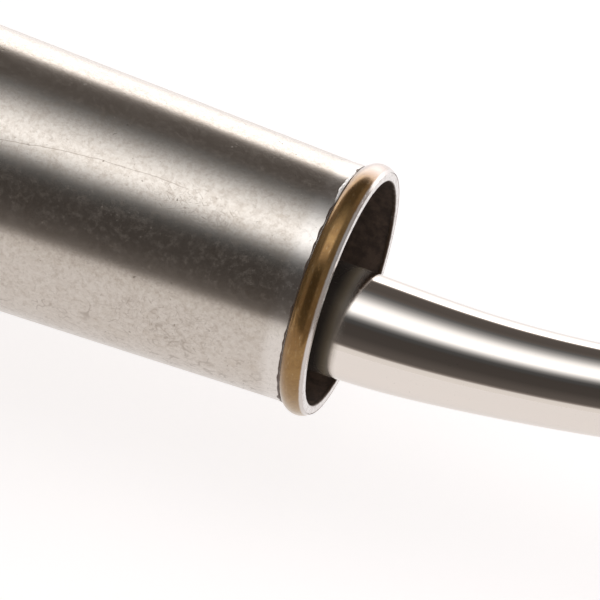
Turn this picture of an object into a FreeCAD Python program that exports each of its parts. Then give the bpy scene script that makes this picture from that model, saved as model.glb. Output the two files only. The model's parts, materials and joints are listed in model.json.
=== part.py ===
"""Oil burner nozzle: a tapering air tube with a beaded mouth, and a curved oil spout inside it.

Frame: +X runs along the air tube and out of its mouth, and +Z is up. The origin lies on the
tube's axis, in the front face of the mounting flange's gasket. Sizes are in millimetres.
A "station" behind the flange is a positive number, so its x is minus the station. A "bearing" is
the angle about +X from +Z.
"""
import FreeCAD
import Part

import math
import os

import Sketcher

SIZES = {
    # air tube and its mouth
    "mouth_station": 120, "mouth_radius": 25.37, "tube_growth": 0.037, "sheet_wall": 0.9,
    "rim_thickness": 0.8, "rim_inner": 24.2, "rim_outer": 26.1,
    "bead_width": 5.3, "bead_curve": 3.38, "solder_width": 0.35, "solder_height": 0.2,
    # mounting flange
    "gasket_thickness": 2, "gasket_bore": 31, "flange_thickness": 6, "flange_radius": 58,
    "flange_hub": 35, "flange_hub_length": 6, "flange_chamfer": 1,
    "bolt_circle": 94, "bolt_hole": 4.5,
    # air drum and the shutter that turns on it
    "drum_front": 28, "drum_wall": 4, "drum_rear": 84, "drum_radius": 42, "drum_shell": 2.5,
    "shoulder_radius": 45, "collar_radius": 36, "collar_length": 9, "land_inner": 31,
    "land_length": 6, "port_angle": 40, "port_front": 44, "port_length": 26,
    "shutter_gap": 0.05, "shutter_sheet": 1.2, "shutter_play": 0.25, "shutter_swing": 45,
    "stop_radius": 1.5, "stop_station": 74.5, "stop_bearing": 225, "stop_clearance": 0.3,
    "stop_head": 44.3, "lock_station": 38, "lock_bearing": 45, "lock_gap": 0.1,
    "lug_radius": 4.5, "lug_top": 46.5, "thumb_foot": 47, "thumb_radius": 5, "thumb_length": 6,
    "cover_thickness": 4, "cover_circle": 70.5, "cover_hub": 20,
    "screw_radius": 2, "screw_head": 3.6, "screw_head_length": 2.6, "grub_radius": 2.5,
    # swivelling tail tube and its bearing
    "tail_radius": 6, "tail_bore": 4.5, "tail_rear": 98, "tail_front": 56, "running_gap": 0.05,
    "spider_station": 16, "spider_length": 8, "spider_hub": 10.5, "spider_rim": 25.5,
    "spider_web": 4, "spider_window": 84, "spider_screw": 1.5, "spider_screw_head": 2.8,
    "spider_screw_depth": 7, "head_height": 1.6, "keep_gap": 0.3, "keep_width": 6,
    "keep_radius": 9.5, "keep_screw": 1.5,
    # oil valve
    "body_shoulder": 92, "body_rear": 128, "body_radius": 17, "neck_radius": 12,
    "neck_front": 60, "packing_radius": 9, "packing_rear": 66, "packing_front": 62,
    "lock_nut_flats": 32, "lock_nut_length": 6, "gland_flats": 30, "gland_front": 56,
    "gland_rear": 70, "chamber_radius": 7, "chamber_rear": 120, "seat_rear": 104,
    "seat_front": 100, "seat_bore": 2, "oil_way": 4, "inlet_station": 114, "inlet_boss": 11,
    "inlet_reach": 24, "inlet_socket": 10, "nipple_radius": 6.58, "nipple_flats": 19,
    "nipple_hex": 7, "nipple_thread": 12, "nipple_root": 8, "washer_thickness": 1.2,
    "nipple_washer": 9.3, "sieve_top": 2, "sieve_length": 14, "sieve_radius": 3.4,
    "sieve_wall": 0.5, "bonnet_plug": 10, "bonnet_washer": 14, "bonnet_flats": 27,
    "bonnet_hex_rear": 137, "bonnet_neck": 8.5, "bonnet_rear": 146, "stuffing_radius": 6.5,
    "stuffing_front": 140, "stuffing_rear": 144, "gland_nut_flats": 22, "gland_nut_rear": 149,
    "gland_nut_front": 139,
    # needle, spindle and handwheel
    "needle_radius": 2.6, "needle_point": 0.5, "needle_cone": 5, "needle_seating": 0.15,
    "needle_rear": 119, "pin_radius": 1.5, "pin_length": 5, "spindle_radius": 4,
    "spindle_stub": 3, "spindle_shoulder": 163, "spindle_rear": 180, "wheel_radius": 27,
    "wheel_grip": 3.4, "wheel_hub": 9, "wheel_hub_length": 9, "spoke_radius": 2.4,
    "spoke_root": 8, "wheel_washer": 7, "wheel_nut_flats": 10, "wheel_nut_length": 5,
    # spout
    "spout_offset": 5.89, "spout_roll": 61.1, "bend_radius": 350, "pipe_root": 11.65,
    "pipe_tip": 8.4, "pipe_taper": 36, "pipe_wall": 1.5, "pipe_step": 12.5,
    "socket_rear": 68, "socket_front": 56, "socket_radius": 13.7, "socket_gap": 0.12,
    # nozzle at the spout's end
    "adapter_flats": 19, "adapter_hex": 12, "adapter_length": 20, "adapter_nose": 8.8,
    "adapter_way": 5.2, "spigot_radius": 7.1, "spigot_length": 6, "nozzle_thread": 7.14,
    "nozzle_rear": 10.5, "nozzle_flats": 16, "nozzle_hex_end": 28, "nozzle_end": 31,
    "nozzle_nose": 6, "nozzle_bore": 5, "nozzle_bore_end": 25, "tip_bore": 3.2,
    "tip_face": 27.2, "tip_mouth": 1.6, "tip_flare_start": 28.4, "tip_flare": 4.2,
    "orifice_thickness": 1.2, "orifice_radius": 0.2, "swirl_rear": 20, "swirl_front": 26,
    "swirl_flange_rear": 21, "swirl_flange_front": 24, "keeper_rear": 15, "keeper_bore": 1.6,
    "filter_rear": 2, "filter_radius": 4.6, "filter_wall": 0.8,
    # small chamfers on nuts and turned ends
    "edge": 0.6,
}
PORTS = 4
COVER_SCREWS = 4
DRUM_SCREWS = 3
SPIDER_ARMS = 3
SPOKES = 5
STRAIGHT_STEPS = 5
BENT_STEPS = 8

doc = FreeCAD.newDocument("OilBurnerNozzle")
parts = []


# ---------------------------------------------------------------- expressions and placements

def fill_sheet():
    """Write the sizes to the sheet "d", one alias a row."""
    sheet = doc.addObject("Spreadsheet::Sheet", "d")
    for row, (alias, size) in enumerate(SIZES.items(), start=1):
        sheet.set(f"A{row}", alias)
        sheet.set(f"B{row}", str(size))
        sheet.setAlias(f"B{row}", alias)
    doc.recompute()


def value(expression):
    """The number that an expression gives."""
    probe.setExpression("Result", expression)
    probe.recompute()
    return probe.Result


def bind(obj, **expressions):
    for name, expression in expressions.items():
        obj.setExpression(name, expression)


def at(x="0", y="0", z="0", axis=(1, 0, 0), angle="0"):
    """A placement's expression: a position, and a turn about an axis."""
    turn = "rotation(vector({}; {}; {}); {})".format(*axis, angle)
    return f"placement(vector({x}; {y}; {z}); {turn})"


def outwards(x, bearing, out, turn="0"):
    """Local +Z points away from the tube's axis at a bearing; turn tips local +X into it."""
    return (at(x, axis=(1, 0, 0), angle=bearing) + " * "
            + at(z=out, axis=(0, 1, 0), angle=turn))


def tube_outside(back):
    """The air tube's outer radius at a distance behind its mouth."""
    return f"(d.mouth_radius + d.tube_growth * ({back}))"


def tube_inside(back):
    return f"({tube_outside(back)} - d.sheet_wall)"


def circumradius(flats):
    return f"({flats} / 2 / cos(30))"


# ---------------------------------------------------------------- building blocks

def publish(obj, label, placement=None):
    """Make an object a sub-part: name it, place it, and list it for export."""
    obj.Label = label
    if placement:
        bind(obj, Placement=placement)
    parts.append(obj)
    return obj


def origin_feature(body, role):
    return next(o for o in body.Origin.OriginFeatures if o.Role == role)


def hold(sketch, kind, vertex, axis, expression):
    """Tie one coordinate of an outline's vertex to an expression."""
    if expression == "0":
        sketch.addConstraint(Sketcher.Constraint("PointOnObject", vertex, 1, axis))
        return
    index = sketch.addConstraint(Sketcher.Constraint(kind, -1, 1, vertex, 1, value(expression)))
    sketch.setExpression(f"Constraints[{index}]", expression)


def swelling(start, end, radius):
    """An arc from start to end that swells to the right of its chord."""
    chord = end - start
    middle = (start + end) * 0.5
    side = FreeCAD.Vector(chord.y, -chord.x, 0).normalize()
    rise = radius - math.sqrt(radius ** 2 - chord.Length ** 2 / 4)
    return Part.Arc(start, middle + side * rise, end)


def outline(body, name, points):
    """A closed outline in the XZ plane, counter-clockwise from its inner edge.

    A point is (along the axis, away from it), with a radius added where an arc leaves it.
    """
    sketch = body.newObject("Sketcher::SketchObject", name)
    sketch.AttachmentSupport = [(origin_feature(body, "XZ_Plane"), "")]
    sketch.MapMode = "FlatFace"
    places = [FreeCAD.Vector(value(p[0]), value(p[1]), 0) for p in points]
    following = places[1:] + places[:1]
    for point, start, end in zip(points, places, following):
        if len(point) == 3:
            sketch.addGeometry(swelling(start, end, value(point[2])))
        else:
            sketch.addGeometry(Part.LineSegment(start, end))
    for i, point in enumerate(points):
        joint = Sketcher.Constraint("Coincident", i, 2, (i + 1) % len(points), 1)
        sketch.addConstraint(joint)
        hold(sketch, "DistanceX", i, -2, point[0])
        hold(sketch, "DistanceY", i, -1, point[1])
        if len(point) == 3:
            index = sketch.addConstraint(Sketcher.Constraint("Radius", i, value(point[2])))
            sketch.setExpression(f"Constraints[{index}]", point[2])
    return sketch


def turned(name, points):
    """A body turned about X."""
    body = doc.addObject("PartDesign::Body", name)
    sketch = outline(body, name + "_outline", points)
    spin = body.newObject("PartDesign::Revolution", name + "_turning")
    spin.Profile = sketch
    spin.ReferenceAxis = (sketch, ["H_Axis"])
    spin.Angle = 360
    doc.recompute()
    return body


def ring(name, rear, front, inner, outer):
    return turned(name, [(rear, inner), (front, inner), (front, outer), (rear, outer)])


def repeat(body, feature, count):
    pattern = body.newObject("PartDesign::PolarPattern", body.Name + "_pattern")
    pattern.Originals = [feature]
    pattern.Axis = (origin_feature(body, "X_Axis"), [""])
    pattern.Angle = 360
    pattern.Occurrences = count
    body.Tip = pattern
    doc.recompute()


def windows(body, rear, front, inner, outer, angle, count):
    """Cut equal windows through a turned wall, the first at bearing 0."""
    corners = [(rear, inner), (front, inner), (front, outer), (rear, outer)]
    sketch = outline(body, body.Name + "_window", corners)
    groove = body.newObject("PartDesign::Groove", body.Name + "_groove")
    groove.Profile = sketch
    groove.ReferenceAxis = (sketch, ["H_Axis"])
    groove.Midplane = True
    bind(groove, Angle=angle)
    doc.recompute()
    repeat(body, groove, count)


def bolt_holes(body, circle, radius, count):
    """Drill a circle of holes along X, the first at bearing 270."""
    sketch = body.newObject("Sketcher::SketchObject", body.Name + "_holes")
    sketch.AttachmentSupport = [(origin_feature(body, "YZ_Plane"), "")]
    sketch.MapMode = "FlatFace"
    centre = FreeCAD.Vector(value(circle) / 2, 0, 0)
    sketch.addGeometry(Part.Circle(centre, FreeCAD.Vector(0, 0, 1), value(radius)))
    sketch.addConstraint(Sketcher.Constraint("PointOnObject", 0, 3, -1))
    across = sketch.addConstraint(Sketcher.Constraint("DistanceX", -1, 1, 0, 3, centre.x))
    size = sketch.addConstraint(Sketcher.Constraint("Radius", 0, value(radius)))
    sketch.setExpression(f"Constraints[{across}]", f"{circle} / 2")
    sketch.setExpression(f"Constraints[{size}]", radius)
    pocket = body.newObject("PartDesign::Pocket", body.Name + "_drilling")
    pocket.Profile = sketch
    pocket.Type = "ThroughAll"
    pocket.SideType = "Symmetric"
    doc.recompute()
    repeat(body, pocket, count)


def cylinder(name, radius, length, placement, angle="360"):
    """A cylinder along its local +Z."""
    rod = doc.addObject("Part::Cylinder", name)
    bind(rod, Radius=radius, Height=length, Angle=angle, Placement=placement)
    return rod


def along_x(name, radius, rear, front, y="0", z="0"):
    return cylinder(name, radius, f"({front}) - ({rear})", at(rear, y, z, (0, 1, 0), "90"))


def joined(name, pieces):
    fuse = doc.addObject("Part::MultiFuse", name)
    fuse.Shapes = pieces
    return fuse


def cut(name, base, tools):
    """Cut tools from a base, and stop if nothing comes away."""
    result = doc.addObject("Part::Cut", name)
    result.Base = base
    result.Tool = tools[0] if len(tools) == 1 else joined(name + "_tools", tools)
    doc.recompute()
    if result.Shape.Volume > base.Shape.Volume - 1e-6:
        raise RuntimeError(f"{name}: the cut removes nothing")
    return result


def flats(name, body, rear, front, width):
    """Cut a hexagon's flats on a turned piece."""
    sheath = along_x(name + "_sheath", circumradius(width) + " + 5", rear, front)
    core = doc.addObject("Part::Prism", name + "_core")
    core.Polygon = 6
    bind(core, Circumradius=circumradius(width), Height=f"({front}) - ({rear})")
    bind(core, Placement=at(rear, axis=(0, 1, 0), angle="90"))
    return cut(name + "_hexagon", body, [cut(name + "_shell", sheath, [core])])


def nut_edge(rear, front, width):
    """The outer edge of a nut's outline, from front to rear, with its corners turned off."""
    corner = circumradius(width)
    face = f"{width} / 2"
    chamfer = f"({corner} - {face}) * 0.58"
    return [(front, face), (f"{front} - {chamfer}", corner), (f"{rear} + {chamfer}", corner),
            (rear, face)]


def copies(name, piece, placements):
    """Several copies of one piece as one object of separate solids."""
    links = []
    for i, placement in enumerate(placements):
        link = doc.addObject("App::Link", f"{name}_{i}")
        link.LinkedObject = piece
        link.LinkTransform = True
        bind(link, Placement=placement)
        links.append(link)
    group = doc.addObject("Part::Compound", name)
    group.Links = links
    return group


def bearings(count, first=0):
    return [str(first + 360 * i / count) for i in range(count)]


# ---------------------------------------------------------------- air tube and its mouth

def spider_bearings():
    return bearings(SPIDER_ARMS, 180 / SPIDER_ARMS)


def spider_holes(name, depth):
    """Radial holes for the screws that hold the spider in the air tube."""
    middle = "d.spider_station + d.spider_length / 2"
    return [cylinder(f"{name}_{i}", "d.spider_screw", "20", outwards(middle, b, depth))
            for i, b in enumerate(spider_bearings())]


def air_tube():
    rear = "(d.mouth_station + d.drum_front + d.drum_wall)"
    front = "d.rim_thickness"
    sheet = turned("air_tube_sheet", [
        ("-" + rear, tube_inside(rear)),
        ("-" + front, tube_inside(front)),
        ("-" + front, tube_outside(front)),
        ("-" + rear, tube_outside(rear))])
    bind(sheet, Placement=at("d.mouth_station"))
    publish(cut("air_tube", sheet, spider_holes("air_tube_hole", "d.spider_hub")), "air_tube")


def mouth_rim():
    rim = ring("mouth_rim", "-d.rim_thickness", "0", "d.rim_inner", "d.rim_outer")
    publish(rim, "mouth_rim", at("d.mouth_station"))


def mouth_bead():
    bead = turned("mouth_bead", [
        ("-d.bead_width", tube_outside("d.bead_width")),
        ("-d.rim_thickness", tube_outside("d.rim_thickness")),
        ("-d.rim_thickness", "d.rim_outer"),
        ("0", "d.rim_outer", "d.bead_curve")])
    publish(bead, "mouth_bead", at("d.mouth_station"))


def bead_solder():
    rear = "(d.bead_width + d.solder_width)"
    line = turned("bead_solder", [
        ("-" + rear, tube_outside(rear)),
        ("-d.bead_width", tube_outside("d.bead_width")),
        ("-d.bead_width", tube_outside("d.bead_width") + " + d.solder_height")])
    publish(line, "bead_solder", at("d.mouth_station"))


def mounting_flange():
    front = "-d.gasket_thickness"
    back = f"({front} - d.flange_thickness)"
    rear = f"({back} - d.flange_hub_length)"
    edge = "d.flange_chamfer"
    flange = turned("mounting_flange", [
        (rear, tube_outside(f"d.mouth_station - {rear}")),
        (front, tube_outside(f"d.mouth_station - {front}")),
        (front, "d.flange_radius - " + edge),
        (f"{front} - {edge}", "d.flange_radius"),
        (f"{back} + {edge}", "d.flange_radius"),
        (back, "d.flange_radius - " + edge),
        (back, "d.flange_hub + " + edge),
        (f"{back} - {edge}", "d.flange_hub"),
        (rear, "d.flange_hub")])
    bolt_holes(flange, "d.bolt_circle", "d.bolt_hole", 4)
    publish(flange, "mounting_flange")


def flange_gasket():
    gasket = ring("flange_gasket", "-d.gasket_thickness", "0", "d.gasket_bore",
                  "d.flange_radius - d.flange_chamfer")
    bolt_holes(gasket, "d.bolt_circle", "d.bolt_hole", 4)
    publish(gasket, "flange_gasket")


# ---------------------------------------------------------------- air drum and its shutter

def port_rear():
    return "-(d.port_front + d.port_length)"


def lock_hole(name):
    return cylinder(name, "d.screw_radius", "20",
                    outwards("-d.lock_station", "d.lock_bearing", "d.drum_radius - 10"))


def grub_station():
    return "(d.collar_length / 2 - d.drum_front)"


def air_drum():
    front = "-d.drum_front"
    wall = f"({front} - d.drum_wall)"
    rear = "-d.drum_rear"
    collar = f"({front} + d.collar_length)"
    land = f"({rear} + d.land_length)"
    inside = "d.drum_radius - d.drum_shell"
    edge = "d.edge"
    drum = turned("air_drum_casting", [
        (wall, tube_outside(f"d.mouth_station - {wall}")),
        (collar, tube_outside(f"d.mouth_station - {collar}")),
        (collar, "d.collar_radius - " + edge),
        (f"{collar} - {edge}", "d.collar_radius"),
        (front, "d.collar_radius"),
        (front, "d.shoulder_radius - " + edge),
        (f"{front} - {edge}", "d.shoulder_radius"),
        (wall, "d.shoulder_radius"),
        (wall, "d.drum_radius"),
        (rear, "d.drum_radius"),
        (rear, "d.land_inner"),
        (land, "d.land_inner"),
        (land, inside),
        (wall, inside)])
    windows(drum, port_rear(), "-d.port_front", "d.drum_radius - 6", "d.drum_radius + 3",
            "d.port_angle", PORTS)
    tools = [along_x(f"air_drum_thread_{i}", "d.screw_radius", rear + " - 1", land + " + 1",
                     f"d.cover_circle / 2 * cos({b})", f"d.cover_circle / 2 * sin({b})")
             for i, b in enumerate(bearings(COVER_SCREWS, 45))]
    tools += [cylinder(f"air_drum_grub_{i}", "d.grub_radius", "12",
                       outwards(grub_station(), b, "d.gasket_bore - 2"))
              for i, b in enumerate(bearings(DRUM_SCREWS))]
    tools.append(cylinder("air_drum_stop", "d.stop_radius", "10",
                          outwards("-d.stop_station", "d.stop_bearing", "d.drum_radius - 8")))
    publish(cut("air_drum", drum, tools), "air_drum")


def drum_screws():
    """Set screws that clamp the drum's collar on the air tube."""
    back = "d.mouth_station - " + grub_station()
    foot = tube_outside(back) + " + d.lock_gap"
    length = f"(d.collar_radius - ({foot}))"
    grub = turned("drum_grub", [
        ("0", "0"), (length, "0"), (length, "d.grub_radius"),
        ("d.edge", "d.grub_radius"), ("0", "d.grub_radius - d.edge")])
    places = [outwards(grub_station(), b, foot, "-90") for b in bearings(DRUM_SCREWS)]
    publish(copies("drum_screws", grub, places), "drum_screws")


def stop_pin():
    """The pin in the drum that ends the shutter's swing."""
    foot = "d.drum_radius - d.drum_shell"
    length = f"(d.stop_head - ({foot}))"
    pin = turned("stop_pin", [
        ("0", "0"), (length, "0"), (length, "d.stop_radius - d.edge"),
        (length + " - d.edge", "d.stop_radius"), ("0", "d.stop_radius")])
    publish(pin, "stop_pin", outwards("-d.stop_station", "d.stop_bearing", foot, "-90"))


def band_inside():
    return "d.drum_radius + d.shutter_gap"


def band_outside():
    return f"({band_inside()} + d.shutter_sheet)"


def shutter_band():
    rear = "-d.drum_rear + d.shutter_play"
    front = "-d.drum_front - d.drum_wall - d.shutter_play"
    band = ring("shutter_sheet", rear, front, band_inside(), band_outside())
    windows(band, port_rear(), "-d.port_front", "d.drum_radius - 2", "d.drum_radius + 3",
            "d.port_angle", PORTS)
    half_slot = "(d.stop_radius + d.stop_clearance)"
    margin = f"({half_slot} / d.drum_radius * 180 / pi)"
    sweep = f"(d.shutter_swing + 2 * {margin})"
    start = f"d.stop_bearing - d.shutter_swing - {margin} - 180"
    slot = cylinder("stop_slot", "d.shoulder_radius + 5", f"2 * {half_slot}",
                    at(f"-d.stop_station - {half_slot}", angle=start) + " * "
                    + at(axis=(0, 1, 0), angle="90"), sweep)
    publish(cut("shutter_band", band, [slot, lock_hole("band_lock_hole")]), "shutter_band")


def shutter_lug():
    """The nut brazed on the shutter for its locking screw."""
    post = cylinder("lug_post", "d.lug_radius", "d.lug_top - d.drum_radius",
                    outwards("-d.lock_station", "d.lock_bearing", "d.drum_radius"))
    under = along_x("lug_under", band_outside(), "-d.drum_rear", "-d.drum_front")
    publish(cut("shutter_lug", post, [under, lock_hole("lug_lock_hole")]), "shutter_lug")


def shutter_screw():
    foot = "(d.drum_radius + d.lock_gap)"
    neck = f"(d.thumb_foot - {foot})"
    end = f"({neck} + d.thumb_length)"
    screw = turned("shutter_screw", [
        ("0", "0"), (end, "0"), (end, "d.thumb_radius - d.edge"),
        (end + " - d.edge", "d.thumb_radius"), (neck + " + d.edge", "d.thumb_radius"),
        (neck, "d.thumb_radius - d.edge"), (neck, "d.screw_radius"), ("0", "d.screw_radius")])
    publish(screw, "shutter_screw", outwards("-d.lock_station", "d.lock_bearing", foot, "-90"))


def rear_cover():
    front = "-d.drum_rear"
    back = "(-d.drum_rear - d.cover_thickness)"
    rear = "-d.body_shoulder"
    cover = turned("rear_cover_disc", [
        (rear, "d.neck_radius"), (front, "d.neck_radius"), (front, "d.shoulder_radius"),
        (back + " + d.edge", "d.shoulder_radius"), (back, "d.shoulder_radius - d.edge"),
        (back, "d.cover_hub"), (rear, "d.cover_hub")])
    holes = [along_x(f"cover_hole_{i}", "d.screw_radius", back + " - 1", front + " + 1",
                     f"d.cover_circle / 2 * cos({b})", f"d.cover_circle / 2 * sin({b})")
             for i, b in enumerate(bearings(COVER_SCREWS, 45))]
    publish(cut("rear_cover", cover, holes), "rear_cover")


def cover_screws():
    length = "(d.cover_thickness + d.land_length)"
    screw = turned("cover_screw", [
        ("-d.screw_head_length", "0"), (length, "0"), (length, "d.screw_radius"),
        ("0", "d.screw_radius"), ("0", "d.screw_head"),
        ("-d.screw_head_length + d.edge", "d.screw_head"),
        ("-d.screw_head_length", "d.screw_head - d.edge")])
    back = "-d.drum_rear - d.cover_thickness"
    places = [at(back, f"d.cover_circle / 2 * cos({b})", f"d.cover_circle / 2 * sin({b})")
              for b in bearings(COVER_SCREWS, 45)]
    publish(copies("cover_screws", screw, places), "cover_screws")


# ---------------------------------------------------------------- swivel bearing

def tail_hole():
    return "d.tail_radius + d.running_gap"


def pipe_spider():
    rear = "d.spider_station"
    front = "(d.spider_station + d.spider_length)"
    web_rear = f"({rear} + (d.spider_length - d.spider_web) / 2)"
    web_front = f"({web_rear} + d.spider_web)"
    spider = turned("spider_wheel", [
        (rear, tail_hole()), (front, tail_hole()), (front, "d.spider_hub"),
        (web_front, "d.spider_hub"), (web_front, "d.spider_rim"), (front, "d.spider_rim"),
        (front, tube_inside(f"d.mouth_station - {front}")),
        (rear, tube_inside(f"d.mouth_station - {rear}")),
        (rear, "d.spider_rim"), (web_rear, "d.spider_rim"), (web_rear, "d.spider_hub"),
        (rear, "d.spider_hub")])
    windows(spider, web_rear, web_front, "d.spider_hub", "d.spider_rim", "d.spider_window",
            SPIDER_ARMS)
    holes = spider_holes("spider_hole", "d.spider_rim - d.spider_screw_depth + 3")
    publish(cut("pipe_spider", spider, holes), "pipe_spider")


def spider_screws():
    middle = "d.spider_station + d.spider_length / 2"
    back = f"(d.mouth_station - ({middle}))"
    seat = f"({tube_outside(back)} + 0.1)"
    foot = "(d.spider_rim - d.spider_screw_depth + 3)"
    length = f"({seat} - {foot})"
    screw = turned("spider_screw", [
        ("0", "0"), (length + " + d.head_height", "0"),
        (length + " + d.head_height", "d.spider_screw_head - d.edge"),
        (length + " + d.head_height - d.edge", "d.spider_screw_head"),
        (length, "d.spider_screw_head"), (length, "d.spider_screw"), ("0", "d.spider_screw")])
    places = [outwards(middle, b, foot, "-90") for b in spider_bearings()]
    publish(copies("spider_screws", screw, places), "spider_screws")


def tail_tube():
    tube = ring("tail_tube", "0", "d.tail_rear + d.tail_front", "d.tail_bore", "d.tail_radius")
    publish(tube, "tail_tube", at("-d.tail_rear"))


def keeper_stations():
    return ["d.spider_station - d.keep_gap - d.keep_width",
            "d.spider_station + d.spider_length + d.keep_gap"]


def tail_keepers():
    """Collars each side of the spider that keep the tail tube from sliding."""
    collar = turned("keeper_ring", [
        ("0", "d.tail_radius"), ("d.keep_width", "d.tail_radius"),
        ("d.keep_width", "d.keep_radius - d.edge"),
        ("d.keep_width - d.edge", "d.keep_radius"), ("d.edge", "d.keep_radius"),
        ("0", "d.keep_radius - d.edge")])
    hole = cylinder("keeper_hole", "d.keep_screw", "10",
                    outwards("d.keep_width / 2", "0", "d.tail_bore"))
    keeper = cut("keeper", collar, [hole])
    places = [at(x) for x in keeper_stations()]
    publish(copies("tail_keepers", keeper, places), "tail_keepers")


def keeper_screws():
    foot = "(d.tail_radius + d.lock_gap)"
    length = f"(d.keep_radius - {foot})"
    grub = turned("keeper_grub", [
        ("0", "0"), (length, "0"), (length, "d.keep_screw"), ("0", "d.keep_screw")])
    places = [outwards(x + " + d.keep_width / 2", "0", foot, "-90") for x in keeper_stations()]
    publish(copies("keeper_screws", grub, places), "keeper_screws")


# ---------------------------------------------------------------- oil valve

def valve_body():
    shoulder = "-d.body_shoulder"
    rear = "-d.body_rear"
    front = "-d.neck_front"
    shell = turned("valve_shell", [
        (rear, "0"), (front, "0"), (front, "d.neck_radius - d.edge"),
        (front + " - d.edge", "d.neck_radius"), (shoulder, "d.neck_radius"),
        (shoulder, "d.body_radius - d.edge"), (shoulder + " - d.edge", "d.body_radius"),
        (rear + " + d.edge", "d.body_radius"), (rear, "d.body_radius - d.edge")])
    boss = cylinder("valve_boss", "d.inlet_boss", "d.inlet_reach",
                    outwards("-d.inlet_station", "180", "0"))
    bores = turned("valve_bores", [
        (rear, "0"), (front, "0"), (front, "d.packing_radius"),
        ("-d.packing_rear", "d.packing_radius"), ("-d.packing_rear", tail_hole()),
        ("-d.seat_front", tail_hole()), ("-d.seat_front", "d.chamber_radius"),
        ("-d.chamber_rear", "d.chamber_radius"), ("-d.chamber_rear", "d.bonnet_plug"),
        (rear, "d.bonnet_plug")])
    drop = cylinder("valve_drop", "d.oil_way", "d.inlet_reach",
                    outwards("-d.inlet_station", "180", "0"))
    socket = cylinder("valve_socket", "d.nipple_radius", "d.inlet_socket",
                      outwards("-d.inlet_station", "180", "d.inlet_reach - d.inlet_socket"))
    publish(cut("valve_body", joined("valve_solid", [shell, boss]), [bores, drop, socket]),
            "valve_body")


def valve_lock_nut():
    rear = "-d.drum_rear"
    front = "(d.lock_nut_length - d.drum_rear)"
    nut = turned("lock_nut_blank", [(rear, "d.neck_radius"), (front, "d.neck_radius")]
                 + nut_edge(rear, front, "d.lock_nut_flats"))
    publish(flats("lock_nut", nut, rear, front, "d.lock_nut_flats"), "valve_lock_nut")


def tail_packing():
    packing = ring("tail_packing", "-d.packing_rear", "-d.packing_front", tail_hole(),
                   "d.packing_radius")
    publish(packing, "tail_packing")


def tail_gland_nut():
    rear = "-d.gland_rear"
    front = "-d.gland_front"
    inner = [(rear, "d.neck_radius"), ("-d.neck_front", "d.neck_radius"),
             ("-d.neck_front", "d.packing_radius"), ("-d.packing_front", "d.packing_radius"),
             ("-d.packing_front", tail_hole()), (front, tail_hole())]
    nut = turned("tail_gland_blank", inner + nut_edge(rear, front, "d.gland_flats"))
    publish(flats("tail_gland", nut, rear, front, "d.gland_flats"), "tail_gland_nut")


def valve_seat():
    seat = ring("valve_seat", "-d.seat_rear", "-d.seat_front", "d.seat_bore",
                "d.chamber_radius")
    publish(seat, "valve_seat")


def bonnet():
    rear = "-d.bonnet_rear"
    hex_front = "(-d.body_rear - d.washer_thickness)"
    hex_rear = "-d.bonnet_hex_rear"
    spindle_hole = "d.spindle_radius + d.running_gap"
    inner = [(rear, "d.stuffing_radius"), ("-d.stuffing_front", "d.stuffing_radius"),
             ("-d.stuffing_front", spindle_hole), ("-d.chamber_rear", spindle_hole),
             ("-d.chamber_rear", "d.bonnet_plug"), (hex_front, "d.bonnet_plug")]
    blank = turned("bonnet_blank", inner + nut_edge(hex_rear, hex_front, "d.bonnet_flats")
                   + [(hex_rear, "d.bonnet_neck"), (rear, "d.bonnet_neck")])
    publish(flats("bonnet", blank, hex_rear, hex_front, "d.bonnet_flats"), "bonnet")


def bonnet_washer():
    washer = ring("bonnet_washer", "-d.body_rear - d.washer_thickness", "-d.body_rear",
                  "d.bonnet_plug", "d.bonnet_washer")
    publish(washer, "bonnet_washer")


def spindle_packing():
    packing = ring("spindle_packing", "-d.stuffing_rear", "-d.stuffing_front",
                   "d.spindle_radius + d.running_gap", "d.stuffing_radius")
    publish(packing, "spindle_packing")


def spindle_gland_nut():
    rear = "-d.gland_nut_rear"
    front = "-d.gland_nut_front"
    spindle_hole = "d.spindle_radius + d.running_gap"
    inner = [(rear, spindle_hole), ("-d.stuffing_rear", spindle_hole),
             ("-d.stuffing_rear", "d.stuffing_radius"),
             ("-d.bonnet_rear", "d.stuffing_radius"), ("-d.bonnet_rear", "d.bonnet_neck"),
             (front, "d.bonnet_neck")]
    nut = turned("spindle_gland_blank", inner + nut_edge(rear, front, "d.gland_nut_flats"))
    publish(flats("spindle_gland", nut, rear, front, "d.gland_nut_flats"), "spindle_gland_nut")


def nipple_place():
    """Local +X points down from the face of the valve's inlet boss."""
    return at("-d.inlet_station", z="-d.inlet_reach", axis=(0, 1, 0), angle="90")


def inlet_nipple():
    hex_start = "d.washer_thickness"
    hex_end = "(d.washer_thickness + d.nipple_hex)"
    end = f"({hex_end} + d.nipple_thread)"
    blank = turned("nipple_blank", [
        ("-d.nipple_root", "d.oil_way"), (end, "d.oil_way"),
        (end, "d.nipple_radius - d.edge"), (end + " - d.edge", "d.nipple_radius"),
        (hex_end, "d.nipple_radius")] + nut_edge(hex_start, hex_end, "d.nipple_flats")
        + [(hex_start, "d.nipple_radius"), ("-d.nipple_root", "d.nipple_radius")])
    nipple = flats("nipple", blank, hex_start, hex_end, "d.nipple_flats")
    publish(nipple, "inlet_nipple", nipple_place())


def nipple_washer():
    washer = ring("nipple_washer", "0", "d.washer_thickness", "d.nipple_radius",
                  "d.nipple_washer")
    publish(washer, "nipple_washer", nipple_place())


def inlet_sieve():
    inside = "d.sieve_radius - d.sieve_wall"
    end = "(d.sieve_top + d.sieve_length)"
    sieve = turned("inlet_sieve", [
        ("d.sieve_top", "0"), ("d.sieve_top + d.sieve_wall", "0"),
        ("d.sieve_top + d.sieve_wall", inside), (end, inside), (end, "d.oil_way"),
        (end + " - 1", "d.oil_way"), (end + " - 1", "d.sieve_radius"),
        ("d.sieve_top", "d.sieve_radius")])
    publish(sieve, "inlet_sieve", nipple_place())


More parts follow.
